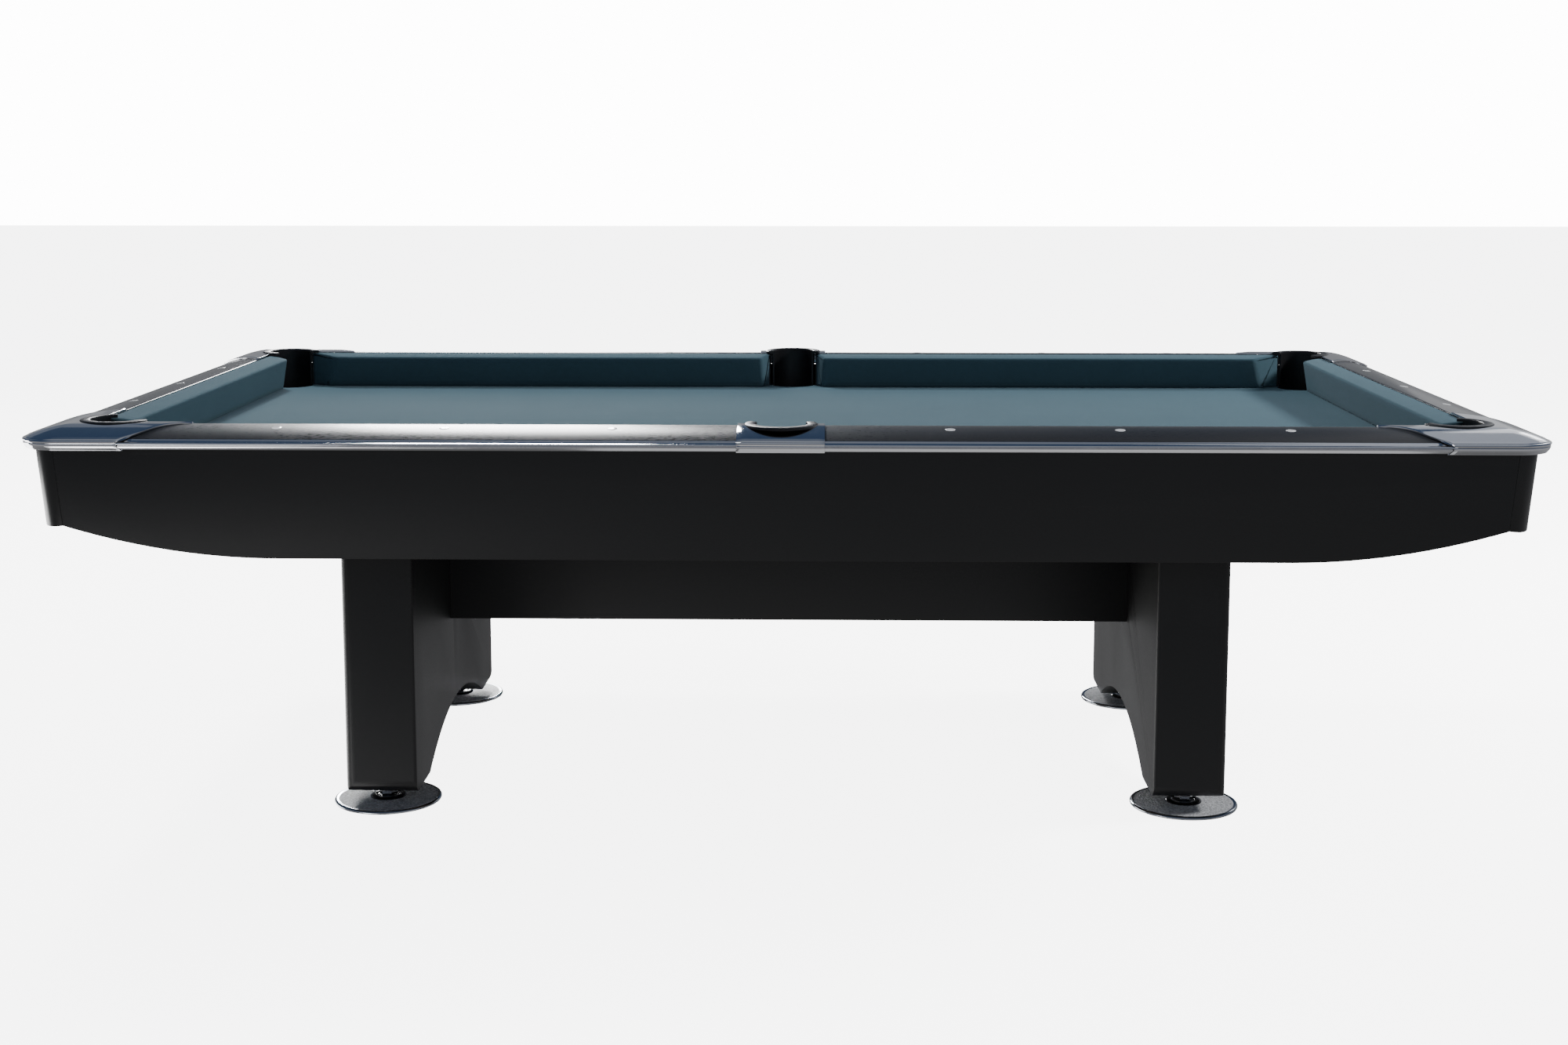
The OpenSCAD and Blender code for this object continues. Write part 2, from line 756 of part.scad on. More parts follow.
module cushion_front_left() { quarter(-1, -1) cushion_long(); }
module cushion_front_right() { quarter(1, -1) cushion_long(); }
module cushion_rear_left() { quarter(-1, 1) cushion_long(); }
module cushion_rear_right() { quarter(1, 1) cushion_long(); }
module cushion_left_end() { short_side(-1) cushion_short(); }
module cushion_right_end() { short_side(1) cushion_short(); }

module rail_front_left() { quarter(-1, -1) rail_long(); }
module rail_front_right() { quarter(1, -1) rail_long(); }
module rail_rear_left() { quarter(-1, 1) rail_long(); }
module rail_rear_right() { quarter(1, 1) rail_long(); }
module rail_left_end() { short_side(-1) rail_short(); }
module rail_right_end() { short_side(1) rail_short(); }

module trim_front_left() { quarter(-1, -1) trim_long(); }
module trim_front_right() { quarter(1, -1) trim_long(); }
module trim_rear_left() { quarter(-1, 1) trim_long(); }
module trim_rear_right() { quarter(1, 1) trim_long(); }
module trim_left_end() { short_side(-1) trim_short(); }
module trim_right_end() { short_side(1) trim_short(); }

module corner_casting_front_left() { quarter(-1, -1) corner_casting(); }
module corner_casting_front_right() { quarter(1, -1) corner_casting(); }
module corner_casting_rear_left() { quarter(-1, 1) corner_casting(); }
module corner_casting_rear_right() { quarter(1, 1) corner_casting(); }
module side_casting_front() { quarter(1, -1) side_casting(); }
module side_casting_rear() { side_casting(); }

module pocket_front_left() { quarter(-1, -1) corner_pocket(); }
module pocket_front_right() { quarter(1, -1) corner_pocket(); }
module pocket_rear_left() { quarter(-1, 1) corner_pocket(); }
module pocket_rear_right() { quarter(1, 1) corner_pocket(); }
module pocket_front_side() { quarter(1, -1) side_pocket(); }
module pocket_rear_side() { side_pocket(); }

module pedestal_left() { quarter(-1, 1) pedestal(); }
module pedestal_right() { pedestal(); }
module stretcher() {
    length = 2 * pedestal_x - pedestal_w;
    color(black) difference() {
        translate([-length / 2, -stretcher_d / 2, stretcher_clear])
            cube([length, stretcher_d, stretcher_h]);
        for (sx = [-1, 1], y = [-stretcher_bolt_y, stretcher_bolt_y], z = stretcher_bolt_zs)
            translate([sx * length / 2, y, z]) rotate([0, -sx * 90, 0]) translate([0, 0, -1])
                cylinder(h = stretcher_bolt_grip + 2, r = frame_bolt_r + bolt_gap);
    }
}

module foot_front_left() { at_foot(-1, -1) foot(); }
module foot_front_right() { at_foot(1, -1) foot(); }
module foot_rear_left() { at_foot(-1, 1) foot(); }
module foot_rear_right() { at_foot(1, 1) foot(); }
module spindle_front_left() { at_foot(-1, -1) spindle(); }
module spindle_front_right() { at_foot(1, -1) spindle(); }
module spindle_rear_left() { at_foot(-1, 1) spindle(); }
module spindle_rear_right() { at_foot(1, 1) spindle(); }

module foot_bushings() {
    color(black) for (sx = [-1, 1], sy = [-1, 1]) at_foot(sx, sy) bushing();
}

module rail_sights() {
    z = sight_z - sight_t;
    color("white") {
        for (k = [1 : 3], sx = [-1, 1], sy = [-1, 1])
            translate([sx * sight_pitch * k, sy * (field_y + sight_setback), z])
                cylinder(h = sight_t, r = sight_r);
        for (k = [-1 : 1], sx = [-1, 1])
            translate([sx * (field_x + sight_setback), sight_pitch_y * k, z])
                cylinder(h = sight_t, r = sight_r);
    }
}

module rail_bolts() {
    color("silver") for (p = bolt_spots) translate([p.x, p.y, slate_bottom]) {
        translate([0, 0, -2]) cylinder(h = 2, r = 3 * rail_bolt_r);
        translate([0, 0, -10]) cylinder(h = 8.5, r = 9, $fn = 6);
        translate([0, 0, -2.5]) cylinder(h = slate_t + cloth_t + rail_bolt_grip, r = rail_bolt_r);
    }
}

// Bolts that hold the frame on the pedestals, and the stretcher between them
module frame_bolts() {
    inner = pedestal_x - pedestal_w / 2 + pedestal_wall;
    color("silver") {
        for (sx = [-1, 1], sy = [-1, 1])
            translate([sx * pedestal_x, sy * frame_bolt_y, frame_bottom - frame_bolt_grip + 2]) {
                cylinder(h = frame_bolt_grip + frame_h - 13, r = frame_bolt_r);
                translate([0, 0, frame_bolt_grip + frame_h - 14])
                    cylinder(h = 8, r = 11, $fn = 6);
            }
        for (sx = [-1, 1], y = [-stretcher_bolt_y, stretcher_bolt_y], z = stretcher_bolt_zs)
            translate([sx * inner, y, z]) rotate([0, -sx * 90, 0]) {
                translate([0, 0, -8]) cylinder(h = 8, r = 11, $fn = 6);
                translate([0, 0, -1])
                    cylinder(h = pedestal_wall + stretcher_bolt_grip, r = frame_bolt_r);
            }
    }
}

side_apron_front();
side_apron_rear();
end_apron_left();
end_apron_right();
corner_post_front_left();
corner_post_front_right();
corner_post_rear_left();
corner_post_rear_right();
frame_beam_front();
frame_beam_rear();
frame_cross_beams();
slate_left();
slate_middle();
slate_right();
bed_cloth();
cushion_front_left();
cushion_front_right();
cushion_rear_left();
cushion_rear_right();
cushion_left_end();
cushion_right_end();
rail_front_left();
rail_front_right();
rail_rear_left();
rail_rear_right();
rail_left_end();
rail_right_end();
trim_front_left();
trim_front_right();
trim_rear_left();
trim_rear_right();
trim_left_end();
trim_right_end();
corner_casting_front_left();
corner_casting_front_right();
corner_casting_rear_left();
corner_casting_rear_right();
side_casting_front();
side_casting_rear();
pocket_front_left();
pocket_front_right();
pocket_rear_left();
pocket_rear_right();
pocket_front_side();
pocket_rear_side();
pedestal_left();
pedestal_right();
stretcher();
foot_front_left();
foot_front_right();
foot_rear_left();
foot_rear_right();
spindle_front_left();
spindle_front_right();
spindle_rear_left();
spindle_rear_right();
foot_bushings();
rail_sights();
rail_bolts();
frame_bolts();
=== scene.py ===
"""Nine-foot pool table: the looks of every piece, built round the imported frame."""

import math

import bmesh
import bpy
from bpy.props import FloatProperty, FloatVectorProperty, IntProperty, PointerProperty
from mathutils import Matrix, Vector


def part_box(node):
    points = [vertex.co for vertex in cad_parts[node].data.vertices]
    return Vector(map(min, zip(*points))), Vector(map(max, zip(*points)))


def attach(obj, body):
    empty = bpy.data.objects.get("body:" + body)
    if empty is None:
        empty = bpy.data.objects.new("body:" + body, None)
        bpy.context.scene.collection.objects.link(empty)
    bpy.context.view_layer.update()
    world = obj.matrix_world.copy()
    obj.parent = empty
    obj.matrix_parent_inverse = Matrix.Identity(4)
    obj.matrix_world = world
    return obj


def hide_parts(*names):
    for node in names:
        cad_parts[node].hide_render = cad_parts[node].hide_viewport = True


bl_info = {
    "name": "Pool table",
    "version": (1, 0, 0),
    "blender": (4, 5, 0),
    "location": "View3D > Sidebar > Pool table",
    "description": "Builds a cloth-covered pool table with metal trim on its packed frame",
    "category": "Object",
}

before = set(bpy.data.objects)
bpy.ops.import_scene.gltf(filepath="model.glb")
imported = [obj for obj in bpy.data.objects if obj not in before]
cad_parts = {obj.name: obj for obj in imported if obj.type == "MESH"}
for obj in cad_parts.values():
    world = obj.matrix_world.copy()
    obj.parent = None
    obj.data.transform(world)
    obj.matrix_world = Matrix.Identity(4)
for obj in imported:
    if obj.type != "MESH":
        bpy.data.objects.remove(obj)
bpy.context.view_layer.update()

QUARTERS = [("front", "left", -1, -1), ("front", "right", 1, -1),
            ("rear", "left", -1, 1), ("rear", "right", 1, 1)]
ENDS = [("left", -1), ("right", 1)]
SIDES = [("front", -1), ("rear", 1)]
WHITE = (1.0, 1.0, 1.0)

# Sizes in metres that no user would change
MERGE_DISTANCE = 1e-5
THREAD_PITCH = 0.0011
CLOTH_DRAFT_DEPTH = 0.020
CLOTH_THICKNESS = 0.0009
POCKET_CLEARANCE = 0.005
CASTING_THICKNESS = 0.005
CROWN_DROP = 0.0165
FOOT_THICKNESS = 0.008
FOOT_POLISHED_BAND = 0.0080
FOOT_HUB_REACH = 0.0380
TRIM_GAP = 0.0004
CUT_PAST = 0.05
CLOTH_CUT_PAST = 0.1
FLOOR_SIZE = 60.0

# Shares and powers of the outlines
CASTING_BEND = 0.045
CROWN_POWER = 2.4

# The studio's own fixed values
WHITE_STRENGTH = 14.0
SKY_STOPS = [
    (0.0, (0.13, 0.13, 0.13)), (0.35, (0.34, 0.34, 0.35)), (0.57, (0.24, 0.25, 0.27)),
    (0.64, (0.050, 0.075, 0.122)), (0.90, (0.033, 0.056, 0.105)), (1.0, (0.30, 0.32, 0.35))]
SENSOR_WIDTH = 36.0
CAMERA_SHIFT = (0.0029, -0.0685)
CAMERA_CLIP_END = 200.0

# The colour sockets of a Mix node, which share their names with its other kinds of socket
MIX_SHARE, MIX_FIRST, MIX_SECOND = 0, 6, 7
MIX_COLOUR = 2


# ---------------------------------------------------------------- sizes read from the frame

def low(node):
    """Lowest corner of a CAD node."""
    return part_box(node)[0]


def high(node):
    """Highest corner of a CAD node."""
    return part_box(node)[1]


class Plan:
    """The sizes that the pieces share, in metres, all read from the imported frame."""

    field_x = -high("cushion_left_end").x
    field_y = low("cushion_rear_right").y
    outer_x = high("corner_casting_rear_right").x
    outer_y = high("corner_casting_rear_right").y
    rail = outer_y - field_y
    cushion = high("cushion_rear_right").y - field_y
    wood = high("rail_rear_right").y - field_y
    trim = high("trim_rear_right").y - field_y
    bed = high("bed_cloth").z
    cap = high("rail_rear_right").z
    trim_low = low("trim_rear_right").z
    trim_high = high("trim_rear_right").z
    cast_low = low("corner_casting_rear_right").z
    cast_high = high("corner_casting_rear_right").z
    arm = outer_x - low("corner_casting_rear_right").x
    side_cast = high("side_casting_rear").x
    rim_top = high("pocket_rear_side").z
    bucket_low = low("pocket_rear_side").z
    rim = high("pocket_rear_side").x
    side_pocket_y = high("pocket_rear_side").y - rim
    corner_pocket_x = high("pocket_rear_right").x - rim
    corner_pocket_y = high("pocket_rear_right").y - rim
    cushion_low = low("cushion_rear_right").z
    cushion_high = high("cushion_rear_right").z
    slate_x = high("bed_cloth").x
    slate_y = high("bed_cloth").y
    slate_top = low("bed_cloth").z


# ---------------------------------------------------------------- what a user may change

class TableSizes(bpy.types.PropertyGroup):
    """Shapes of the visible pieces that the frame leaves open."""

    corner_radius: FloatProperty(
        name="Corner radius", description="Radius of the table's corners in plan",
        default=0.080, unit="LENGTH")
    cast_outer: FloatProperty(
        name="Casting outer reach", description="Reach of a corner casting along its outer edge",
        default=0.198, unit="LENGTH")
    nose_drop: FloatProperty(
        name="Nose drop", description="How far a cushion's nose lies below its inner edge",
        default=0.0060, unit="LENGTH")
    nose_radius: FloatProperty(
        name="Nose radius", description="Radius of the cushion's nose",
        default=0.0060, unit="LENGTH")
    long_tip_gap: FloatProperty(
        name="Long tip gap", description="From the field's corner to a long cushion's tip",
        default=0.110, unit="LENGTH")
    short_tip_gap: FloatProperty(
        name="Short tip gap", description="From the field's corner to an end cushion's tip",
        default=0.050, unit="LENGTH")
    long_facing: FloatProperty(
        name="Long facing", description="Angle of a long cushion's corner end to its nose",
        default=math.radians(33.5), unit="ROTATION")
    short_facing: FloatProperty(
        name="Short facing", description="Angle of an end cushion's end to its nose",
        default=math.radians(73.0), unit="ROTATION")
    side_mouth: FloatProperty(
        name="Side mouth", description="Width between the noses at a side pocket",
        default=0.158, unit="LENGTH")
    side_facing: FloatProperty(
        name="Side facing", description="Angle of a facing to square at a side pocket",
        default=math.radians(23.5), unit="ROTATION")
    undercut: FloatProperty(
        name="Undercut", description="How far the foot of a cushion lies behind its nose",
        default=0.012, unit="LENGTH")
    cap_skin: FloatProperty(
        name="Laminate", description="Thickness of the laminate on a rail",
        default=0.0008, unit="LENGTH")
    sight_radius: FloatProperty(
        name="Sight radius", description="Radius of a sight", default=0.0095, unit="LENGTH")
    pocket_radius: FloatProperty(
        name="Pocket radius", description="Inner radius of a pocket",
        default=0.050, unit="LENGTH")
    pocket_wall: FloatProperty(
        name="Pocket wall", description="Wall of a pocket",
        default=0.004, unit="LENGTH")
    rim_height: FloatProperty(
        name="Rim height", description="Thickness of a pocket's rim",
        default=0.006, unit="LENGTH")
    slate_hole: FloatProperty(
        name="Bed hole", description="Radius of the bed's cut-outs",
        default=0.0548, unit="LENGTH")


class TableColours(bpy.types.PropertyGroup):
    """Colours of the finishes, in linear light."""

    cloth: FloatVectorProperty(
        name="Cloth", description="Colour of the bed and cushion cloth",
        subtype="COLOR", size=3, default=(0.058, 0.104, 0.130))
    laminate: FloatVectorProperty(
        name="Laminate", description="Colour of the cabinet's laminate",
        subtype="COLOR", size=3, default=(0.0088, 0.0088, 0.0093))
    rail: FloatVectorProperty(
        name="Rail laminate", description="Colour of the rails' tops",
        subtype="COLOR", size=3, default=(0.020, 0.020, 0.021))
    metal: FloatVectorProperty(
        name="Metal", description="Colour of the castings and the trim",
        subtype="COLOR", size=3, default=(0.78, 0.79, 0.82))
    rubber: FloatVectorProperty(
        name="Pocket", description="Colour of the moulded pockets",
        subtype="COLOR", size=3, default=(0.010, 0.010, 0.011))
    foot: FloatVectorProperty(
        name="Foot", description="Colour of the hammered feet",
        subtype="COLOR", size=3, default=(0.52, 0.53, 0.55))


class StudioSettings(bpy.types.PropertyGroup):
    """Camera and lights of the studio."""

    camera_place: FloatVectorProperty(
        name="Camera", description="Place of the camera", subtype="XYZ", size=3,
        default=(0.0833, -4.5987, 1.3551), unit="LENGTH")
    camera_down: FloatProperty(
        name="Down", description="How far the camera looks down", default=0.1297,
        unit="ROTATION")
    camera_left: FloatProperty(
        name="Left", description="How far the camera looks to the left", default=0.0223,
        unit="ROTATION")
    lens: FloatProperty(
        name="Lens", description="Focal length in millimetres on a 36 mm sensor", default=47.82,
        unit="CAMERA")
    key_power: FloatProperty(
        name="Key", description="Power of the rear left key light in watts", default=370.0,
        unit="POWER")
    floor_glow: FloatProperty(
        name="Floor glow", description="Light that comes up through the floor", default=6.0)
    round_steps: IntProperty(
        name="Round steps", description="Steps of a full circle", default=96, min=24)


# ---------------------------------------------------------------- shader arithmetic

class Value:
    """A shader socket that takes part in Python arithmetic through Math nodes."""

    def __init__(self, tree, socket):
        self.tree = tree
        self.socket = socket

    def _math(self, operation, first, second):
        node = self.tree.nodes.new("ShaderNodeMath")
        node.operation = operation
        for slot, term in zip(node.inputs, (first, second)):
            if isinstance(term, Value):
                self.tree.links.new(term.socket, slot)
            else:
                slot.default_value = term
        return Value(self.tree, node.outputs[0])

    def __add__(self, other):
        return self._math("ADD", self, other)

    __radd__ = __add__

    def __sub__(self, other):
        return self._math("SUBTRACT", self, other)

    def __rsub__(self, other):
        return self._math("SUBTRACT", other, self)

    def __mul__(self, other):
        return self._math("MULTIPLY", self, other)

    __rmul__ = __mul__

    def sine(self):
        """Sine of the value in radians."""
        return self._math("SINE", self, 0.0)

    def largest(self, other):
        """The larger of two values."""
        return self._math("MAXIMUM", self, other)


class Graph:
    """A node tree whose nodes are all added by one method."""

    def __init__(self, tree):
        self.tree = tree

    def node(self, kind, settings=None, inputs=None, output=0):
        """Adds a node, sets its settings or its ramp's stops, then its inputs; returns an output."""
        made = self.tree.nodes.new(kind)
        for name, setting in (settings or {}).items():
            if name == "stops":
                self.set_stops(made.color_ramp.elements, setting)
            else:
                setattr(made, name, setting)
        for name, value in (inputs or {}).items():
            self.put(made.inputs[name], value)
        return Value(self.tree, made.outputs[output])

    def set_stops(self, elements, stops):
        """Sets a ramp's stops, each a place and a colour."""
        while len(elements) < len(stops):
            elements.new(1.0)
        for element, (place, colour) in zip(elements, stops):
            element.position = place
            element.color = (*colour, 1.0)

    def put(self, slot, value):
        """Links a value to a socket, or sets the socket's own number."""
        if isinstance(value, Value):
            self.tree.links.new(value.socket, slot)
        elif hasattr(slot.default_value, "__len__") and len(value) == 3 \
                and len(slot.default_value) == 4:
            slot.default_value = (*value, 1.0)
        else:
            slot.default_value = value

    def split(self, where):
        """The three coordinates of a place."""
        made = self.node("ShaderNodeSeparateXYZ", {}, {"Vector": where}).socket.node
        return [Value(self.tree, output) for output in made.outputs]


class Finish(Graph):
    """A material and the nodes behind it."""

    def __init__(self, name):
        self.material = bpy.data.materials.new(name)
        self.material.use_nodes = True
        super().__init__(self.material.node_tree)
        self.shader = self.tree.nodes["Principled BSDF"]

    def surface(self, **inputs):
        """Sets the shader's own sockets; an underscore in a name stands for a space."""
        for name, value in inputs.items():
            self.put(self.shader.inputs[name.replace("_", " ")], value)
        return self.material

    def place(self, scale=(1.0, 1.0, 1.0)):
        """Object coordinates, stretched by a Mapping node."""
        coords = self.node("ShaderNodeTexCoord", output="Object")
        return self.node("ShaderNodeMapping", {}, {"Vector": coords, "Scale": scale})

    def noise(self, where, scale, detail=3.0, rough=0.55):
        """Fractal noise between 0 and 1."""
        return self.node("ShaderNodeTexNoise", {"noise_dimensions": "3D"}, {
            "Vector": where, "Scale": scale, "Detail": detail, "Roughness": rough}, "Fac")

    def mix(self, share, dark, light):
        """Blend of two colours."""
        return self.node("ShaderNodeMix", {"data_type": "RGBA"}, {
            MIX_SHARE: share, MIX_FIRST: dark, MIX_SECOND: light}, MIX_COLOUR)

    def bump(self, height, depth, strength=1.0):
        """Normal from a height between 0 and 1 that stands for the depth in metres."""
        return self.node("ShaderNodeBump", {}, {
            "Height": height, "Distance": depth, "Strength": strength}, "Normal")


def tint(colour, factor):
    """A colour made lighter or darker."""
    return tuple(channel * factor for channel in colour)


# ---------------------------------------------------------------- finishes

def cloth_finish(name, colour):
    """Worsted cloth: a fine twill with loose fibres and slight unevenness."""
    finish = Finish(name)
    where = finish.place()
    x, y, z = finish.split(where)
    thread = 2.0 * math.pi / THREAD_PITCH
    twill = ((x + y + z * 0.6) * thread).sine() * ((x - y * 0.5 + z) * thread * 0.5).sine()
    fibres = finish.noise(where, 1500.0, 2.0, 0.7)
    patches = finish.noise(where, 6.0, 4.0, 0.6)
    flecks = finish.noise(where, 420.0, 3.0, 0.65)
    share = twill * 0.10 + fibres * 0.35 + flecks * 0.35 + patches * 0.30
    colours = finish.mix(share, tint(colour, 0.74), tint(colour, 1.26))
    height = twill * 0.35 + fibres * 0.65
    return finish.surface(
        Base_Color=colours, Roughness=0.95, Specular_IOR_Level=0.04,
        Sheen_Weight=0.12, Sheen_Roughness=0.45, Sheen_Tint=(0.62, 0.78, 0.88, 1.0),
        Normal=finish.bump(height, 0.00022, 0.55))


def laminate_finish(name, colour, stretch, grain_scale, rough, depth):
    """Black laminate with a fine pressed grain that runs one way."""
    finish = Finish(name)
    where = finish.place(stretch)
    grain = finish.noise(where, grain_scale, 5.0, 0.62)
    pores = finish.noise(where, grain_scale * 3.1, 2.0, 0.5)
    clouds = finish.noise(finish.place(), 3.0, 3.0, 0.5)
    share = grain * 0.6 + pores * 0.4
    colours = finish.mix(share, tint(colour, 0.55), tint(colour, 1.65))
    roughness = rough + (grain - 0.5) * 0.16 + (clouds - 0.5) * 0.10
    return finish.surface(
        Base_Color=colours, Roughness=roughness, Specular_IOR_Level=0.42,
        Normal=finish.bump(grain * 0.6 + pores * 0.4, depth, 0.5))


def metal_finish(name, colour, stretch, rough, depth):
    """Polished metal with fine draw lines and faint handling marks."""
    finish = Finish(name)
    where = finish.place(stretch)
    lines = finish.noise(where, 160.0, 4.0, 0.6)
    marks = finish.noise(finish.place(), 22.0, 5.0, 0.6)
    colours = finish.mix(lines * 0.5 + marks * 0.5, tint(colour, 0.90), tint(colour, 1.05))
    roughness = rough + (lines - 0.5) * 0.10 + (marks - 0.5) * 0.12
    return finish.surface(
        Base_Color=colours, Metallic=1.0, Roughness=roughness.largest(0.04),
        Normal=finish.bump(lines, depth, 0.3))


def moulded_finish(name, colour, rough):
    """Moulded black rubber with a pebbled skin."""
    finish = Finish(name)
    where = finish.place()
    pebbles = finish.node("ShaderNodeTexVoronoi", {"feature": "F1"}, {
        "Vector": where, "Scale": 520.0}, "Distance")
    scuffs = finish.noise(where, 35.0, 5.0, 0.65)
    colours = finish.mix(scuffs, tint(colour, 0.7), tint(colour, 1.5))
    return finish.surface(
        Base_Color=colours, Roughness=rough + (scuffs - 0.5) * 0.22,
        Specular_IOR_Level=0.45, Normal=finish.bump(pebbles, 0.00025, 0.35))


def hammered_finish(name, colour):
    """Grey hammered paint: shallow dimples and wavy ripples."""
    finish = Finish(name)
    where = finish.place()
    bend = finish.noise(where, 60.0, 3.0, 0.6)
    dimples = finish.node("ShaderNodeTexVoronoi", {"feature": "SMOOTH_F1"}, {
        "Vector": where, "Scale": 230.0}, "Distance")
    ripples = finish.noise(where, 330.0, 2.0, 0.5)
    height = dimples * 0.6 + ripples * 0.5
    colours = finish.mix(height * 1.3 + (bend - 0.5) * 0.4 - 0.15, tint(colour, 0.45),
                         tint(colour, 1.5))
    return finish.surface(
        Base_Color=colours, Metallic=0.15, Roughness=0.50 + (bend - 0.5) * 0.2,
        Normal=finish.bump(height, 0.0022, 0.9))


def pearl_finish(name):
    """White pearl sight with a faint cloud in it."""
    finish = Finish(name)
    where = finish.place()
    cloud = finish.noise(where, 260.0, 4.0, 0.6)
    colours = finish.mix(cloud, (0.62, 0.63, 0.64), (0.90, 0.91, 0.92))
    return finish.surface(
        Base_Color=colours, Roughness=0.22 + (cloud - 0.5) * 0.1, Coat_Weight=0.5,
        Normal=finish.bump(cloud, 0.0001, 0.2))


def timber_finish(name):
    """Planed softwood of the slate frame."""
    finish = Finish(name)
    where = finish.place((1.0, 9.0, 9.0))
    rings = finish.noise(where, 5.0, 6.0, 0.6)
    fibres = finish.noise(where, 60.0, 3.0, 0.6)
    colours = finish.mix(rings * 0.7 + fibres * 0.3, (0.30, 0.19, 0.10), (0.62, 0.45, 0.27))
    return finish.surface(
        Base_Color=colours, Roughness=0.62 + (fibres - 0.5) * 0.2,
        Normal=finish.bump(fibres, 0.0004, 0.5))


def slate_finish(name):
    """Honed grey slate with faint riven clouds."""
    finish = Finish(name)
    where = finish.place()
    clouds = finish.noise(where, 7.0, 6.0, 0.6)
    grit = finish.noise(where, 300.0, 3.0, 0.6)
    colours = finish.mix(clouds * 0.7 + grit * 0.3, (0.045, 0.050, 0.055), (0.13, 0.14, 0.15))
    return finish.surface(
        Base_Color=colours, Roughness=0.6 + (grit - 0.5) * 0.2,
        Normal=finish.bump(grit, 0.0003, 0.4))


def floor_finish(name, glow):
    """Plain pale studio floor, a translucent sheet lit from below."""
    finish = Finish(name)
    clouds = finish.noise(finish.place(), 0.6, 2.0, 0.5)
    return finish.surface(
        Base_Color=finish.mix(clouds, (0.84, 0.84, 0.84), (0.86, 0.86, 0.86)),
        Roughness=0.85, Specular_IOR_Level=0.1,
        Emission_Color=WHITE, Emission_Strength=glow)


FINISHES = {}


def make_finishes():
    """Makes every finish once."""
    colours = bpy.context.scene.table_colours
    along, across = (0.12, 1.0, 1.0), (1.0, 0.12, 1.0)
    even = (1.0, 1.0, 1.0)
    laminate, rail = tuple(colours.laminate), tuple(colours.rail)
    metal = tuple(colours.metal)
    FINISHES.update({
        "cloth": cloth_finish("worsted_cloth", tuple(colours.cloth)),
        "cabinet": laminate_finish("cabinet_laminate", laminate, (0.35, 0.35, 1.0),
                                   grain_scale=900.0, rough=0.50, depth=0.00022),
        "pedestal": laminate_finish("pedestal_laminate", laminate, (0.5, 0.5, 0.35),
                                    grain_scale=900.0, rough=0.46, depth=0.0002),
        "post": laminate_finish("corner_profile", laminate, (1.0, 1.0, 0.1),
                                grain_scale=500.0, rough=0.30, depth=0.00005),
        "rail_x": laminate_finish("rail_laminate_long", rail, along,
                                  grain_scale=700.0, rough=0.30, depth=0.00005),
        "rail_y": laminate_finish("rail_laminate_end", rail, across,
                                  grain_scale=700.0, rough=0.17, depth=0.00003),
        "gloss": laminate_finish("gloss_hub", (0.006, 0.006, 0.006), even,
                                 grain_scale=300.0, rough=0.12, depth=0.00002),
        "trim_x": metal_finish("trim_long", metal, along, rough=0.11, depth=0.00004),
        "trim_y": metal_finish("trim_end", metal, across, rough=0.11, depth=0.00004),
        "casting": metal_finish("polished_casting", metal, (0.6, 0.6, 1.0),
                                rough=0.09, depth=0.00003),
        "polished": metal_finish("polished_rim", (0.42, 0.44, 0.47), (1.0, 1.0, 0.3),
                                 rough=0.10, depth=0.00002),
        "chrome": metal_finish("spindle_chrome", (0.82, 0.83, 0.85), (1.0, 1.0, 0.2),
                               rough=0.07, depth=0.00002),
        "steel": metal_finish("bolt_steel", (0.45, 0.46, 0.48), even,
                              rough=0.38, depth=0.0001),
        "pocket": moulded_finish("moulded_pocket", tuple(colours.rubber), rough=0.42),
        "hammered": hammered_finish("hammered_foot", tuple(colours.foot)),
        "pearl": pearl_finish("sight_pearl"),
        "timber": timber_finish("frame_timber"),
        "slate": slate_finish("honed_slate"),
    })


# ---------------------------------------------------------------- modelling helpers

def select_only(piece):
    """Leaves one object selected and active."""
    bpy.ops.object.select_all(action="DESELECT")
    piece.select_set(True)
    bpy.context.view_layer.objects.active = piece


def clean(piece):
    """Merges doubles and turns every face outwards."""
    select_only(piece)
    bpy.ops.object.mode_set(mode="EDIT")
    bpy.ops.mesh.select_all(action="SELECT")
    bpy.ops.mesh.remove_doubles(threshold=MERGE_DISTANCE)
    bpy.ops.mesh.dissolve_degenerate(threshold=1e-6)
    bpy.ops.mesh.select_all(action="SELECT")
    bpy.ops.mesh.normals_make_consistent(inside=False)
    bpy.ops.object.mode_set(mode="OBJECT")


def shaped_grid(name, rows, columns, place, close=False):
    """A grid primitive whose vertices are set by place(row, column).

    Its open ends are filled if close is set, and otherwise it is a shell that faces up."""
    bpy.ops.object.select_all(action="DESELECT")
    bpy.ops.mesh.primitive_grid_add(x_subdivisions=columns - 1, y_subdivisions=rows - 1, size=1.0)
    piece = bpy.context.active_object
    piece.name = name
    for vertex in piece.data.vertices:
        column = round((vertex.co.x + 0.5) * (columns - 1))
        row = round((vertex.co.y + 0.5) * (rows - 1))
        vertex.co = place(row, column)
    clean(piece)
    if close:
        bpy.ops.object.mode_set(mode="EDIT")
        bpy.ops.mesh.select_all(action="SELECT")
        bpy.ops.mesh.fill_holes(sides=0)
        bpy.ops.mesh.select_all(action="SELECT")
        bpy.ops.mesh.normals_make_consistent(inside=False)
        bpy.ops.object.mode_set(mode="OBJECT")
    elif sum(face.normal.z * face.area for face in piece.data.polygons) < 0:
        bpy.ops.object.mode_set(mode="EDIT")
        bpy.ops.mesh.select_all(action="SELECT")
        bpy.ops.mesh.flip_normals()
        bpy.ops.object.mode_set(mode="OBJECT")
    return piece


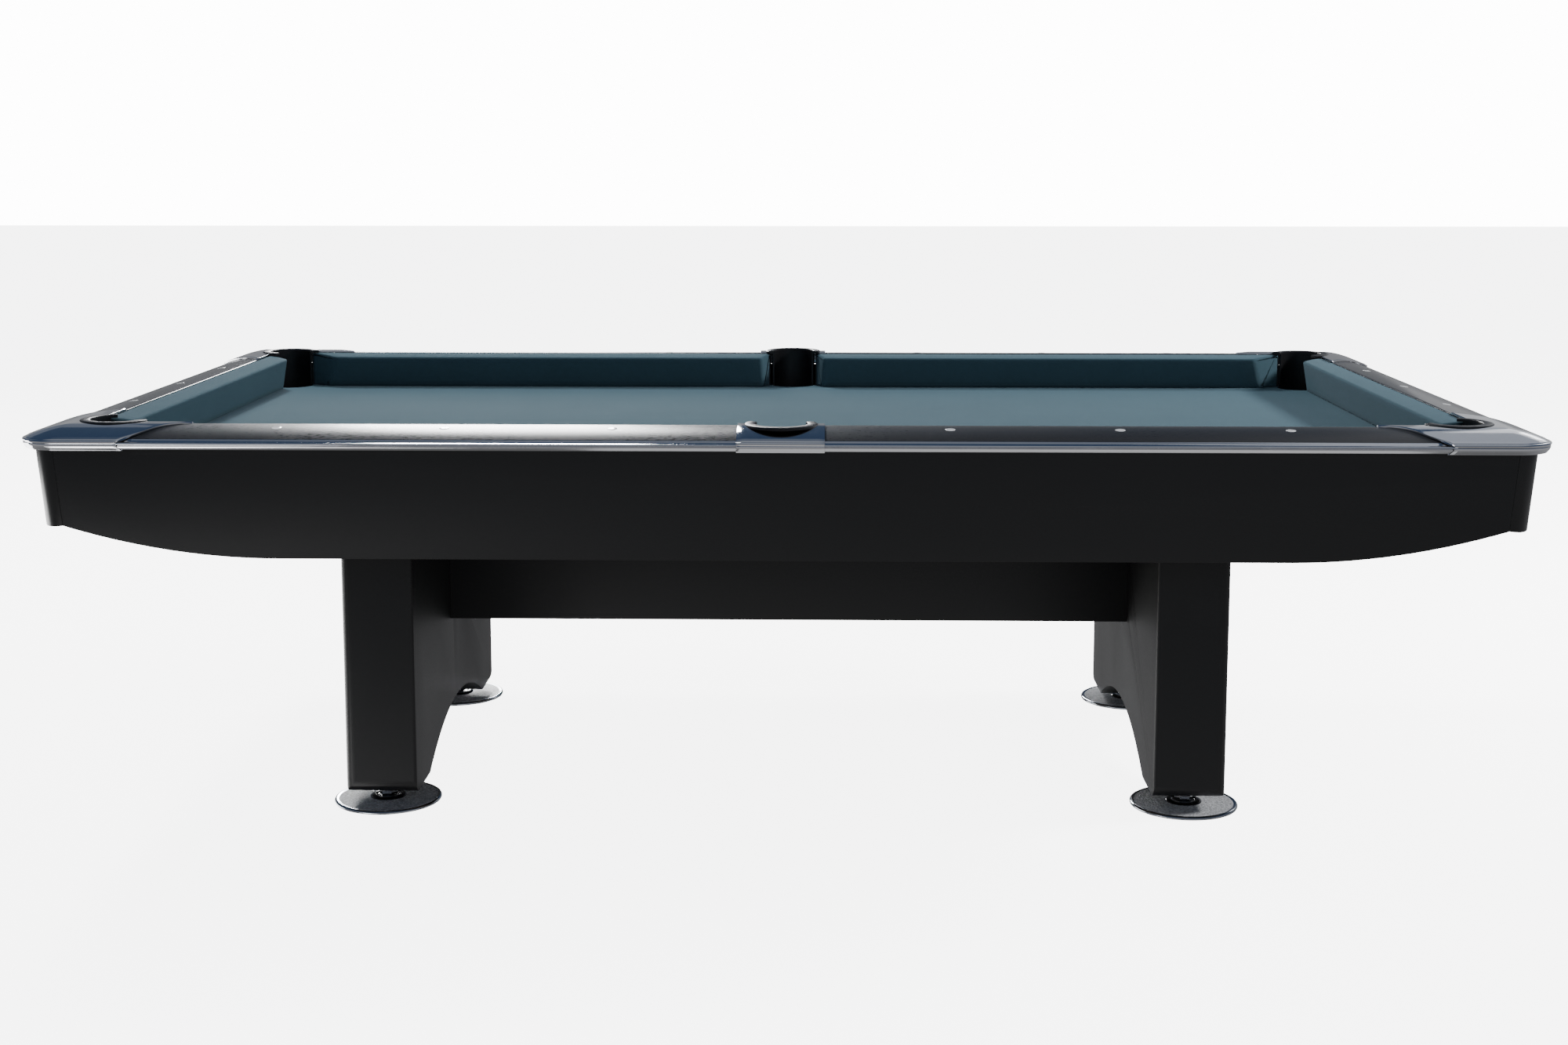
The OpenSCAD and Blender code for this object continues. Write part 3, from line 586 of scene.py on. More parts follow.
def modify(piece, kind, **settings):
    """Adds a modifier, sets it and applies it."""
    select_only(piece)
    made = piece.modifiers.new(kind.lower(), kind)
    for name, setting in settings.items():
        setattr(made, name, setting)
    bpy.ops.object.modifier_apply(modifier=made.name)
    return piece


def smooth(piece, degrees):
    """Smooth shading, with sharp edges above an angle."""
    select_only(piece)
    bpy.ops.object.shade_smooth_by_angle(angle=math.radians(degrees))
    return piece


def join(pieces, name):
    """Joins pieces into the first."""
    bpy.ops.object.select_all(action="DESELECT")
    for piece in pieces:
        piece.select_set(True)
    bpy.context.view_layer.objects.active = pieces[0]
    bpy.ops.object.join()
    pieces[0].name = name
    return pieces[0]


def cut_round(piece, x, y, radius, z0, z1):
    """Cuts an upright round hole through a piece."""
    bpy.ops.object.select_all(action="DESELECT")
    bpy.ops.mesh.primitive_cylinder_add(
        vertices=bpy.context.scene.studio_settings.round_steps, radius=radius,
        depth=z1 - z0, location=(x, y, (z0 + z1) / 2))
    cutter = bpy.context.active_object
    bpy.ops.object.transform_apply(location=True, rotation=True, scale=True)
    modify(piece, "BOOLEAN", operation="DIFFERENCE", solver="MANIFOLD", object=cutter)
    discard(cutter)
    return piece


def linked(name, data):
    """A new object in the scene that shows the given data."""
    made = bpy.data.objects.new(name, data)
    bpy.context.scene.collection.objects.link(made)
    return made


def copy_of_node(node, name):
    """A merged copy of a CAD node's mesh as a piece of its own."""
    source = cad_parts[node]
    piece = linked(name, source.data.copy())
    piece.data.materials.clear()
    select_only(piece)
    bpy.ops.object.mode_set(mode="EDIT")
    bpy.ops.mesh.select_all(action="SELECT")
    bpy.ops.mesh.remove_doubles(threshold=MERGE_DISTANCE)
    bpy.ops.mesh.dissolve_limited(angle_limit=math.radians(0.5))
    bpy.ops.mesh.select_all(action="SELECT")
    bpy.ops.mesh.normals_make_consistent(inside=False)
    bpy.ops.object.mode_set(mode="OBJECT")
    return piece


def flipped(piece, name, sx, sy):
    """A copy of a piece drawn for the right rear quarter, in the quarter (sx, sy)."""
    made = linked(name, piece.data.copy())
    for vertex in made.data.vertices:
        vertex.co.x *= sx
        vertex.co.y *= sy
    if sx * sy < 0:
        made.data.flip_normals()
    return made


def turned_end(piece, name, sx):
    """A copy of a piece drawn for the right end, at the end sx."""
    return flipped(piece, name, sx, sx)


def discard(*drafts):
    """Removes drafts once their copies are in place."""
    for draft in drafts:
        bpy.data.objects.remove(draft)


def finished(piece, finish, replaced=(), body="table"):
    """Gives a piece its finish and body, and hides what it stands for."""
    if finish:
        piece.data.materials.clear()
        piece.data.materials.append(FINISHES[finish])
    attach(piece, body)
    for node in replaced:
        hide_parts(node)
    return piece


# ---------------------------------------------------------------- outlines

def cast_reach(inwards):
    """Reach of a corner casting along its rail, at a distance in from the outer edge."""
    sizes = bpy.context.scene.table_sizes
    share = inwards / (Plan.rail - Plan.cushion)
    bend = CASTING_BEND * math.sin(2 * math.pi * share)
    return sizes.cast_outer + (Plan.arm - sizes.cast_outer) * (share + bend)


def crown(q):
    """Height of a rail's top at the distance q outwards from the nose line."""
    share = (q - Plan.cushion) / (Plan.wood - Plan.cushion)
    return Plan.cap - CROWN_DROP * max(0.0, share) ** CROWN_POWER


def cast_profile():
    """Open line of a casting's outside from the cushion to the foot of its skirt: (q, z)."""
    top, edge = Plan.cast_high, Plan.rail
    flat, lip, fall = Plan.cushion + 0.022, edge - 0.012, 0.017
    radius = ((lip - flat) ** 2 + fall ** 2) / (2 * fall)
    line = [(Plan.cushion, top - 0.004), (Plan.cushion + 0.0006, top - 0.0012),
            (Plan.cushion + 0.0022, top)]
    start, steps = Plan.cushion + 0.0022, 14
    for k in range(1, steps + 1):
        q = start + (lip - start) * k / steps
        drop = 0.0 if q < flat else radius - math.sqrt(radius ** 2 - (q - flat) ** 2)
        line.append((q, top - drop))
    step_and_bead = [
        (0.0085, 0.0190), (0.0062, 0.0200), (0.0052, 0.0212), (0.0030, 0.0214), (0.0012, 0.0224),
        (0.0002, 0.0240), (0.0006, 0.0256), (0.0018, 0.0266)]
    groove_and_skirt = [
        (0.0026, 0.0280), (0.0018, 0.0292), (0.0019, 0.0312), (0.0025, 0.0334), (0.0037, 0.0356),
        (0.0054, 0.0378)]
    line += [(edge - inset, top - drop) for inset, drop in step_and_bead + groove_and_skirt]
    line += [(edge - 0.0075, Plan.cast_low + 0.0010),
             (edge - 0.0080, Plan.cast_low), (edge - 0.0092, Plan.cast_low)]
    return line


def trim_profile():
    """Closed line of the rail trim: lip, groove, bead and skirt: (q, z)."""
    edge, top = Plan.trim, Plan.trim_high
    back = Plan.wood
    lip = [(0.0, 0.0019), (0.0004, 0.0014), (0.0012, 0.0017), (0.0044, 0.0038)]
    ledge_and_bead = [
        (0.0092, 0.0058), (0.0078, 0.0062), (0.0040, 0.0065), (0.0022, 0.0067), (0.0008, 0.0076),
        (0.0, 0.0089), (0.0004, 0.0101), (0.0014, 0.0108)]
    groove = [(0.0024, 0.0112), (0.0026, 0.0119), (0.0018, 0.0126), (0.0022, 0.0145)]
    line = [(back, Plan.trim_low)]
    line += [(back + out, top - drop) for out, drop in lip]
    line += [(edge - inset, top - drop) for inset, drop in ledge_and_bead + groove]
    return line + [(edge - 0.0062, Plan.trim_low + 0.0010), (edge - 0.0072, Plan.trim_low)]


def cushion_profile():
    """Closed line of a cushion, with a tucked back edge: (q, z)."""
    sizes = bpy.context.scene.table_sizes
    r, nose_z = sizes.nose_radius, Plan.cushion_high - sizes.nose_drop + 0.0005
    foot = Plan.cushion_low
    line = [(Plan.cushion, foot), (sizes.undercut + 0.02, foot), (sizes.undercut + 0.002, foot),
            (sizes.undercut, foot + 0.002)]
    for k in range(1, 6):
        share = k / 6
        line.append((sizes.undercut * (1 - share), foot + 0.002 + (nose_z - r - foot) * share))
    for k in range(0, 7):
        angle = math.radians(180 - 15 * k)
        line.append((r + r * math.cos(angle), nose_z - r + r * math.sin(angle)))
    rise = Plan.cushion_high - nose_z
    for k in range(1, 8):
        share = k / 8
        swell = 0.0008 * math.sin(math.pi * share)
        line.append((r + (Plan.cushion - 0.004 - r) * share, nose_z + rise * share + swell))
    line += [(Plan.cushion - 0.0012, Plan.cushion_high - 0.0002),
             (Plan.cushion - 0.0003, Plan.cushion_high - 0.0012),
             (Plan.cushion, Plan.cushion_high - 0.0045)]
    return line


def outward_normals(line):
    """Outward normals of a closed line drawn clockwise seen with q to the right and z up."""
    normals = []
    count = len(line)
    for k in range(count):
        before, after = Vector(line[k - 1]), Vector(line[(k + 1) % count])
        run = (after - before).normalized()
        normals.append(Vector((-run.y, run.x)))
    return normals


# ---------------------------------------------------------------- the pieces

def make_cushion(name, start, end, start_slope, end_slope, place):
    """A cushion from start to end; the slopes are the ends' run along the rail per metre of q."""
    line = cushion_profile()
    normals = outward_normals(line)
    round_r, steps = 0.0065, 5
    ends = [(round_r * (1 - math.cos(math.pi / 2 * k / steps)),
             round_r * (1 - math.sin(math.pi / 2 * k / steps))) for k in range(steps, -1, -1)]
    middle = 28
    rows = [("start", gone, inset) for inset, gone in ends]
    rows += [("middle", k / (middle + 1), 0.0) for k in range(1, middle + 1)]
    rows += [("end", gone, inset) for inset, gone in reversed(ends)]

    def at(row, column):
        kind, gone, inset = rows[row]
        column %= len(line)
        point = Vector(line[column]) - normals[column] * inset
        q, z = point.x, max(point.y, Plan.cushion_low)
        first = start - start_slope * q
        last = end + end_slope * q
        if kind == "start":
            u = first + gone
        elif kind == "end":
            u = last - gone
        else:
            u = first + round_r + (last - first - 2 * round_r) * gone
        return place(u, q, z)

    return shaped_grid(name, len(rows), len(line) + 1, at, close=True)


def on_long(u, q, z):
    """A point of the right rear rail."""
    return Vector((u, Plan.field_y + q, z))


def on_short(u, q, z):
    """A point of the right end rail."""
    return Vector((Plan.field_x + q, u, z))


def sweep_rail(name, line, first, last, place, rows=10, closed=False):
    """A line swept along a rail between two ends that may depend on q."""
    count = len(line) + (1 if closed else 0)

    def at(row, column):
        q, z = line[column % len(line)]
        share = row / (rows - 1)
        return place(first(q) + (last(q) - first(q)) * share, q, z)

    return shaped_grid(name, rows, count, at, close=closed)


def casting_shell():
    """The right rear corner casting: two arms and the round corner between them."""
    sizes = bpy.context.scene.table_sizes
    line = cast_profile()
    bend_q = Plan.rail - sizes.corner_radius
    centre = Vector((Plan.outer_x - sizes.corner_radius, Plan.outer_y - sizes.corner_radius))
    arm_steps, arc_steps = 14, 24
    rows = [("long", k / arm_steps) for k in range(arm_steps)]
    rows += [("arc", k / arc_steps) for k in range(arc_steps + 1)]
    rows += [("short", k / arm_steps) for k in range(1, arm_steps + 1)]

    def at(row, column):
        kind, share = rows[row]
        q, z = line[column]
        inner = min(q, bend_q)
        reach = cast_reach(max(0.0, min(Plan.rail - q, Plan.rail - Plan.cushion)))
        if kind == "long":
            first = Plan.outer_x - reach
            return on_long(first + (Plan.field_x + inner - first) * share, q, z)
        if kind == "short":
            last = Plan.outer_y - reach
            start = Plan.field_y + inner
            return on_short(start + (last - start) * share, q, z)
        angle = math.pi / 2 * (1 - share)
        out = max(0.0, q - bend_q)
        corner = centre if q > bend_q else Vector((Plan.field_x + q, Plan.field_y + q))
        return Vector((corner.x + out * math.cos(angle), corner.y + out * math.sin(angle), z))

    return shaped_grid("casting_draft", len(rows), len(line), at)


def arc_piece(name, line, x, y, middle, sweep):
    """A closed line of (radius, z) swept round a pocket's axis; a full turn closes on itself."""
    steps = bpy.context.scene.studio_settings.round_steps
    full = sweep >= 360.0
    rows = max(12, round(steps * sweep / 360.0)) + 1

    def at(row, column):
        radius, z = line[column % len(line)]
        angle = math.radians(middle - sweep / 2 + sweep * row / (rows - 1))
        return Vector((x + radius * math.cos(angle), y + radius * math.sin(angle), z))

    return shaped_grid(name, rows, len(line) + 1, at, close=not full)


def make_pocket(name, x, y, middle, wall_sweep, rim_sweep):
    """A moulded pocket: round-edged rim, back wall and bucket, with its sweeps in degrees."""
    sizes = bpy.context.scene.table_sizes
    r, wall, rim = sizes.pocket_radius, sizes.pocket_wall, Plan.rim
    top, low_rim = Plan.rim_top, Plan.rim_top - sizes.rim_height
    edge = 0.0022
    rim_line = [
        (r, low_rim + 0.0005), (r, top - edge), (r + 0.0006, top - 0.0009), (r + edge, top),
        ((r + rim) / 2, top), (rim - 2 * edge, top - 0.0002), (rim - edge, top - 0.0008),
        (rim - 0.0008, top - 0.0020), (rim, top - 0.0036), (rim, low_rim + 0.0008),
        (rim - 0.0008, low_rim), (r + 0.0008, low_rim)]
    foot = Plan.slate_top - 0.003
    wall_line = [(r, foot), (r, low_rim + 0.002), (r + wall, low_rim + 0.002), (r + wall, foot)]
    floor_z = Plan.bucket_low
    bucket_line = [
        (0.0, floor_z), (r + wall - 0.003, floor_z), (r + wall, floor_z + 0.003),
        (r + wall, foot + 0.0008), (r + wall - 0.001, foot + 0.0015), (r + 0.001, foot + 0.0015),
        (r, foot + 0.0008), (r, floor_z + 0.010), (r - 0.006, floor_z + wall), (0.0, floor_z + wall)]
    return join([
        arc_piece("rim", rim_line, x, y, middle, rim_sweep),
        arc_piece("wall", wall_line, x, y, middle, wall_sweep),
        arc_piece("bucket", bucket_line, x, y, middle, 360.0)], name)


def make_bed_cloth():
    """The bed cloth: stretched flat on the slates and turned down into the six pockets."""
    sizes = bpy.context.scene.table_sizes
    depth = CLOTH_DRAFT_DEPTH
    bpy.ops.object.select_all(action="DESELECT")
    bpy.ops.mesh.primitive_cube_add(size=1.0, location=(0, 0, Plan.bed - depth / 2))
    cloth = bpy.context.active_object
    cloth.name = "bed_cloth_sheet"
    cloth.scale = (2 * Plan.slate_x, 2 * Plan.slate_y, depth)
    bpy.ops.object.transform_apply(location=True, rotation=True, scale=True)
    for _, _, sx, sy in QUARTERS:
        cut_round(cloth, sx * Plan.corner_pocket_x, sy * Plan.corner_pocket_y,
                  sizes.slate_hole, Plan.bed - CLOTH_CUT_PAST, Plan.bed + CLOTH_CUT_PAST)
    for _, sy in SIDES:
        cut_round(cloth, 0.0, sy * Plan.side_pocket_y, sizes.slate_hole,
                  Plan.bed - CLOTH_CUT_PAST, Plan.bed + CLOTH_CUT_PAST)
    select_only(cloth)
    bpy.ops.object.mode_set(mode="EDIT")
    bpy.ops.mesh.select_mode(type="FACE")
    bpy.ops.mesh.select_all(action="DESELECT")
    mesh = bmesh.from_edit_mesh(cloth.data)
    near = 1e-4
    for face in mesh.faces:
        middle = face.calc_center_median()
        past_x, past_y = abs(middle.x) - Plan.slate_x, abs(middle.y) - Plan.slate_y
        at_rim = abs(past_x) < near or abs(past_y) < near
        face.select_set(face.normal.z < -0.5 or at_rim)
    bmesh.update_edit_mesh(cloth.data)
    bpy.ops.mesh.delete(type="FACE")
    bpy.ops.mesh.select_mode(type="EDGE")
    bpy.ops.mesh.select_all(action="DESELECT")
    mesh = bmesh.from_edit_mesh(cloth.data)
    for edge in mesh.edges:
        level = all(abs(v.co.z - Plan.bed) < 1e-5 for v in edge.verts)
        edge.select_set(level and len(edge.link_faces) == 2)
    bmesh.update_edit_mesh(cloth.data)
    bpy.ops.mesh.bevel(offset=0.004, segments=5, affect="EDGES", clamp_overlap=True)
    bpy.ops.object.mode_set(mode="OBJECT")
    area = sum(face.area for face in cloth.data.polygons)
    modify(cloth, "SOLIDIFY", thickness=CLOTH_THICKNESS, offset=-1.0)
    smooth(cloth, 40.0)
    return cloth, area


def make_foot(name):
    """A foot about its own axis: dished disc, polished rim and domed hub."""
    box_low, box_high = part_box(name)
    x, y = (box_low.x + box_high.x) / 2, (box_low.y + box_high.y) / 2
    radius, hub_top = (box_high.x - box_low.x) / 2, box_high.z
    steps = bpy.context.scene.studio_settings.round_steps
    thick = FOOT_THICKNESS
    disc = [(0.0, 0.0), (radius - 0.004, 0.0), (radius - 0.0012, 0.0010), (radius, 0.0034),
            (radius, 0.0050), (radius - 0.0010, thick - 0.0012), (radius - 0.0030, thick),
            (radius - 0.0055, thick), (radius - 0.0070, thick - 0.0006),
            (radius - 0.0085, thick - 0.0007), (0.055, thick + 0.0004)]
    disc += [(0.0265 + 0.0105 * math.cos(math.radians(a)),
              thick + 0.0006 + (hub_top - thick - 0.0006) * math.sin(math.radians(a)))
             for a in range(0, 100, 10)]
    disc += [(0.0235, hub_top - 0.0006), (0.0225, hub_top - 0.0016), (0.0, hub_top - 0.0016)]

    def at(row, column):
        r, z = disc[column]
        angle = 2 * math.pi * row / steps
        return Vector((x + r * math.cos(angle), y + r * math.sin(angle), z))

    foot = shaped_grid(name + "_disc", steps + 1, len(disc), at)
    for finish in ("hammered", "polished", "gloss"):
        foot.data.materials.append(FINISHES[finish])
    for face in foot.data.polygons:
        middle = face.center
        away = math.hypot(middle.x - x, middle.y - y)
        if away > radius - FOOT_POLISHED_BAND:
            face.material_index = 1
        elif away < FOOT_HUB_REACH:
            face.material_index = 2
    return smooth(foot, 40.0)


# ---------------------------------------------------------------- operators

class TABLE_OT_finishes(bpy.types.Operator):
    """Make every finish and give the carried-over frame pieces theirs"""

    bl_idname = "table.finishes"
    bl_label = "Finishes"

    def execute(self, context):
        """Makes the finishes and assigns them by the node's name."""
        make_finishes()
        kinds = [
            ("rail_bolts", "steel"), ("frame_bolts", "steel"), ("rail_sights", "pearl"),
            ("slate", "slate"), ("frame", "timber"), ("bed_cloth", "cloth"),
            ("cushion", "cloth"), ("rail_left_end", "rail_y"), ("rail_right_end", "rail_y"),
            ("rail", "rail_x"), ("trim", "trim_x"), ("corner_casting", "casting"),
            ("side_casting", "casting"), ("pocket", "pocket"), ("pedestal", "pedestal"),
            ("stretcher", "pedestal"), ("foot_bushings", "steel"), ("foot", "hammered"),
            ("spindle", "chrome"), ("corner_post", "post"), ("side_apron", "cabinet"),
            ("end_apron", "cabinet")]
        for node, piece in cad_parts.items():
            finish = next(kind for start, kind in kinds if node.startswith(start))
            piece.data.materials.clear()
            piece.data.materials.append(FINISHES[finish])
        return {"FINISHED"}


class TABLE_OT_bed(bpy.types.Operator):
    """Stretch the bed cloth over the slates"""

    bl_idname = "table.bed"
    bl_label = "Bed cloth"

    def execute(self, context):
        """Builds the sheet."""
        cloth, area = make_bed_cloth()
        finished(cloth, "cloth", ["bed_cloth"])
        return {"FINISHED"}


class TABLE_OT_cushions(bpy.types.Operator):
    """Cover the six cushions with cloth"""

    bl_idname = "table.cushions"
    bl_label = "Cushions"

    def execute(self, context):
        """Builds one long and one short cushion and copies them round the table."""
        sizes = context.scene.table_sizes
        short_slope = 1.0 / math.tan(sizes.short_facing)
        hole = sizes.pocket_radius + POCKET_CLEARANCE
        long_one = make_cushion(
            "cushion_long", sizes.side_mouth / 2, Plan.field_x - sizes.long_tip_gap,
            math.tan(sizes.side_facing), 1.0 / math.tan(sizes.long_facing), on_long)
        cut_round(long_one, 0.0, Plan.side_pocket_y, hole, Plan.slate_top, Plan.cap + CUT_PAST)
        end = Plan.field_y - sizes.short_tip_gap
        short_one = make_cushion("cushion_short", -end, end, short_slope, short_slope, on_short)
        cut_round(short_one, Plan.corner_pocket_x, -Plan.corner_pocket_y, hole,
                  Plan.slate_top, Plan.cap + CUT_PAST)
        for piece in (long_one, short_one):
            cut_round(piece, Plan.corner_pocket_x, Plan.corner_pocket_y, hole,
                      Plan.slate_top, Plan.cap + CUT_PAST)
            smooth(piece, 50.0)
        for side, end, sx, sy in QUARTERS:
            node = f"cushion_{side}_{end}"
            piece = finished(flipped(long_one, node + "_cover", sx, sy), "cloth",
                             [node])
        for end, sx in ENDS:
            node = f"cushion_{end}_end"
            piece = finished(turned_end(short_one, node + "_cover", sx), "cloth",
                             [node])
        discard(long_one, short_one)
        return {"FINISHED"}


class TABLE_OT_rails(bpy.types.Operator):
    """Lay the laminate on the rails and fit the metal trim outside them"""

    bl_idname = "table.rails"
    bl_label = "Rails and trim"

    def execute(self, context):
        """Builds the caps and trims of a long and a short rail and copies them."""
        skin = context.scene.table_sizes.cap_skin
        steps = 16
        cap_line = [(Plan.cushion + 0.0006, crown(Plan.cushion) - 0.003),
                    (Plan.cushion + 0.0012, crown(Plan.cushion) + skin * 0.4)]
        for k in range(steps + 1):
            q = Plan.cushion + 0.0024 + (Plan.wood - Plan.cushion - 0.0030) * k / steps
            cap_line.append((q, crown(q) + skin))
        cap_line.append((Plan.wood - 0.0002, crown(Plan.wood) - 0.0012))

        def long_end(q):
            reach = cast_reach(min(Plan.rail - q, Plan.rail - Plan.cushion))
            return Plan.outer_x - reach + TRIM_GAP

        def short_end(q):
            reach = cast_reach(min(Plan.rail - q, Plan.rail - Plan.cushion))
            return Plan.outer_y - reach + TRIM_GAP

        long_cap = sweep_rail("cap_long", cap_line, lambda q: Plan.side_cast, long_end, on_long)
        short_cap = sweep_rail("cap_short", cap_line, lambda q: -short_end(q), short_end, on_short)
        trim_line = trim_profile()
        long_trim = sweep_rail("trim_long", trim_line, lambda q: Plan.side_cast + 0.0003,
                               lambda q: long_end(q) - 2 * TRIM_GAP, on_long, 4, closed=True)
        short_trim = sweep_rail("trim_short", trim_line, lambda q: 2 * TRIM_GAP - short_end(q),
                                lambda q: short_end(q) - 2 * TRIM_GAP, on_short, 4, closed=True)
        for piece in (long_cap, short_cap):
            modify(piece, "SOLIDIFY", thickness=skin * 0.9, offset=-1.0)
        for piece in (long_cap, short_cap, long_trim, short_trim):
            smooth(piece, 30.0)
        for side, end, sx, sy in QUARTERS:
            finished(flipped(long_cap, f"rail_cap_{side}_{end}", sx, sy), "rail_x")
            finished(flipped(long_trim, f"trim_strip_{side}_{end}", sx, sy), "trim_x",
                     [f"trim_{side}_{end}"])
        for end, sx in ENDS:
            finished(turned_end(short_cap, f"rail_cap_{end}_end", sx), "rail_y")
            finished(turned_end(short_trim, f"trim_strip_{end}_end", sx), "trim_y",
                     [f"trim_{end}_end"])
        discard(long_cap, short_cap, long_trim, short_trim)
        return {"FINISHED"}


class TABLE_OT_sights(bpy.types.Operator):
    """Set the eighteen sights into the rails"""

    bl_idname = "table.sights"
    bl_label = "Sights"

    def execute(self, context):
        """Builds one slightly domed disc at each sight's place."""
        sizes = context.scene.table_sizes
        out = high("rail_sights").y - sizes.sight_radius - Plan.field_y
        pitch = Plan.field_x / 4
        discs = []
        for k in (1, 2, 3):
            discs += [(self.disc(k * pitch, out, on_long), sx, sy) for sx in (-1, 1)
                      for sy in (-1, 1)]
        for k in (-1, 0, 1):
            discs += [(self.disc(k * pitch, out, on_short), sx, 1) for sx in (-1, 1)]
        pieces = []
        for draft, sx, sy in discs:
            pieces.append(flipped(draft, "sight", sx, sy))
            discard(draft)
        piece = smooth(join(pieces, "sights_pearl"), 50.0)
        finished(piece, "pearl", ["rail_sights"])
        return {"FINISHED"}

    def disc(self, u, out, place):
        """One disc that follows the rail's crown, with a rounded edge."""
        sizes = bpy.context.scene.table_sizes
        r, skin = sizes.sight_radius, sizes.cap_skin
        line = [(0.0, 0.0007), (r * 0.5, 0.0006), (r - 0.0010, 0.0004), (r - 0.0003, 0.0002),
                (r, -0.0003)]
        steps = 32

        def at(row, column):
            radius, rise = line[column]
            angle = 2 * math.pi * row / steps
            q = out + radius * math.sin(angle)
            return place(u + radius * math.cos(angle), q, crown(q) + skin + rise)

        return shaped_grid("sight_draft", steps + 1, len(line), at)


class TABLE_OT_castings(bpy.types.Operator):
    """Cast the four pocket corners and the two side pocket plates"""

    bl_idname = "table.castings"
    bl_label = "Castings"

    def execute(self, context):
        """Builds one casting of each kind, cuts its pocket and copies it."""
        hole = context.scene.table_sizes.pocket_radius + POCKET_CLEARANCE
        corner = casting_shell()
        side = sweep_rail("side_draft", cast_profile(), lambda q: -Plan.side_cast,
                          lambda q: Plan.side_cast, on_long, 12)
        for piece, x, y in ((corner, Plan.corner_pocket_x, Plan.corner_pocket_y),
                            (side, 0.0, Plan.side_pocket_y)):
            modify(piece, "SOLIDIFY", thickness=CASTING_THICKNESS, offset=-1.0)
            cut_round(piece, x, y, hole, Plan.bed, Plan.cast_high + CUT_PAST)
            modify(piece, "BEVEL", width=0.0006, segments=2, limit_method="ANGLE",
                   angle_limit=math.radians(50.0), harden_normals=False)
            smooth(piece, 32.0)
        for name, end, sx, sy in QUARTERS:
            finished(flipped(corner, f"casting_{name}_{end}", sx, sy), "casting",
                     [f"corner_casting_{name}_{end}"])
        for name, sy in SIDES:
            finished(flipped(side, f"casting_{name}_side", 1, sy), "casting",
                     [f"side_casting_{name}"])
        discard(corner, side)
        return {"FINISHED"}


class TABLE_OT_pockets(bpy.types.Operator):
    """Mould the six pockets"""

    bl_idname = "table.pockets"
    bl_label = "Pockets"

    def execute(self, context):
        """Builds one pocket of each kind and copies it."""
        corner = smooth(make_pocket(
            "pocket_draft", Plan.corner_pocket_x, Plan.corner_pocket_y,
            middle=45.0, wall_sweep=206.0, rim_sweep=234.0), 40.0)
        side = smooth(make_pocket(
            "side_pocket_draft", 0.0, Plan.side_pocket_y,
            middle=90.0, wall_sweep=216.0, rim_sweep=224.0), 40.0)
        for name, end, sx, sy in QUARTERS:
            finished(flipped(corner, f"moulded_pocket_{name}_{end}", sx, sy), "pocket",
                     [f"pocket_{name}_{end}"])
        for name, sy in SIDES:
            finished(flipped(side, f"moulded_pocket_{name}_side", 1, sy), "pocket",
                     [f"pocket_{name}_side"])
        discard(corner, side)
        return {"FINISHED"}


class TABLE_OT_cabinet(bpy.types.Operator):
    """Ease the edges of the aprons, corner posts, pedestals and stretcher"""

    bl_idname = "table.cabinet"
    bl_label = "Cabinet"

    def execute(self, context):
        """Copies each board, bevels its edges and gives it its laminate."""
        boards = [(f"side_apron_{s}", "cabinet", "cabinet_laminate", 0.0012) for s, _ in SIDES]
        boards += [(f"end_apron_{e}", "cabinet", "cabinet_laminate", 0.0012) for e, _ in ENDS]
        boards += [(f"corner_post_{s}_{e}", "post", "corner_profile", 0.0006)
                   for s, e, _, _ in QUARTERS]
        boards += [(f"pedestal_{e}", "pedestal", "pedestal_laminate", 0.0012) for e, _ in ENDS]
        boards += [("stretcher", "pedestal", "pedestal_laminate", 0.0012)]
        for node, finish, slot, width in boards:
            piece = copy_of_node(node, node + "_board")
            modify(piece, "BEVEL", width=width, segments=3, limit_method="ANGLE",
                   angle_limit=math.radians(40.0), use_clamp_overlap=True)
            smooth(piece, 30.0)
            finished(piece, finish, [node])
        return {"FINISHED"}


class TABLE_OT_feet(bpy.types.Operator):
    """Turn the four feet"""

    bl_idname = "table.feet"
    bl_label = "Feet"

    def execute(self, context):
        """Builds each foot round its own axis."""
        for side, end, _, _ in QUARTERS:
            node = f"foot_{side}_{end}"
            finished(make_foot(node), None, [node], body=node)
        return {"FINISHED"}


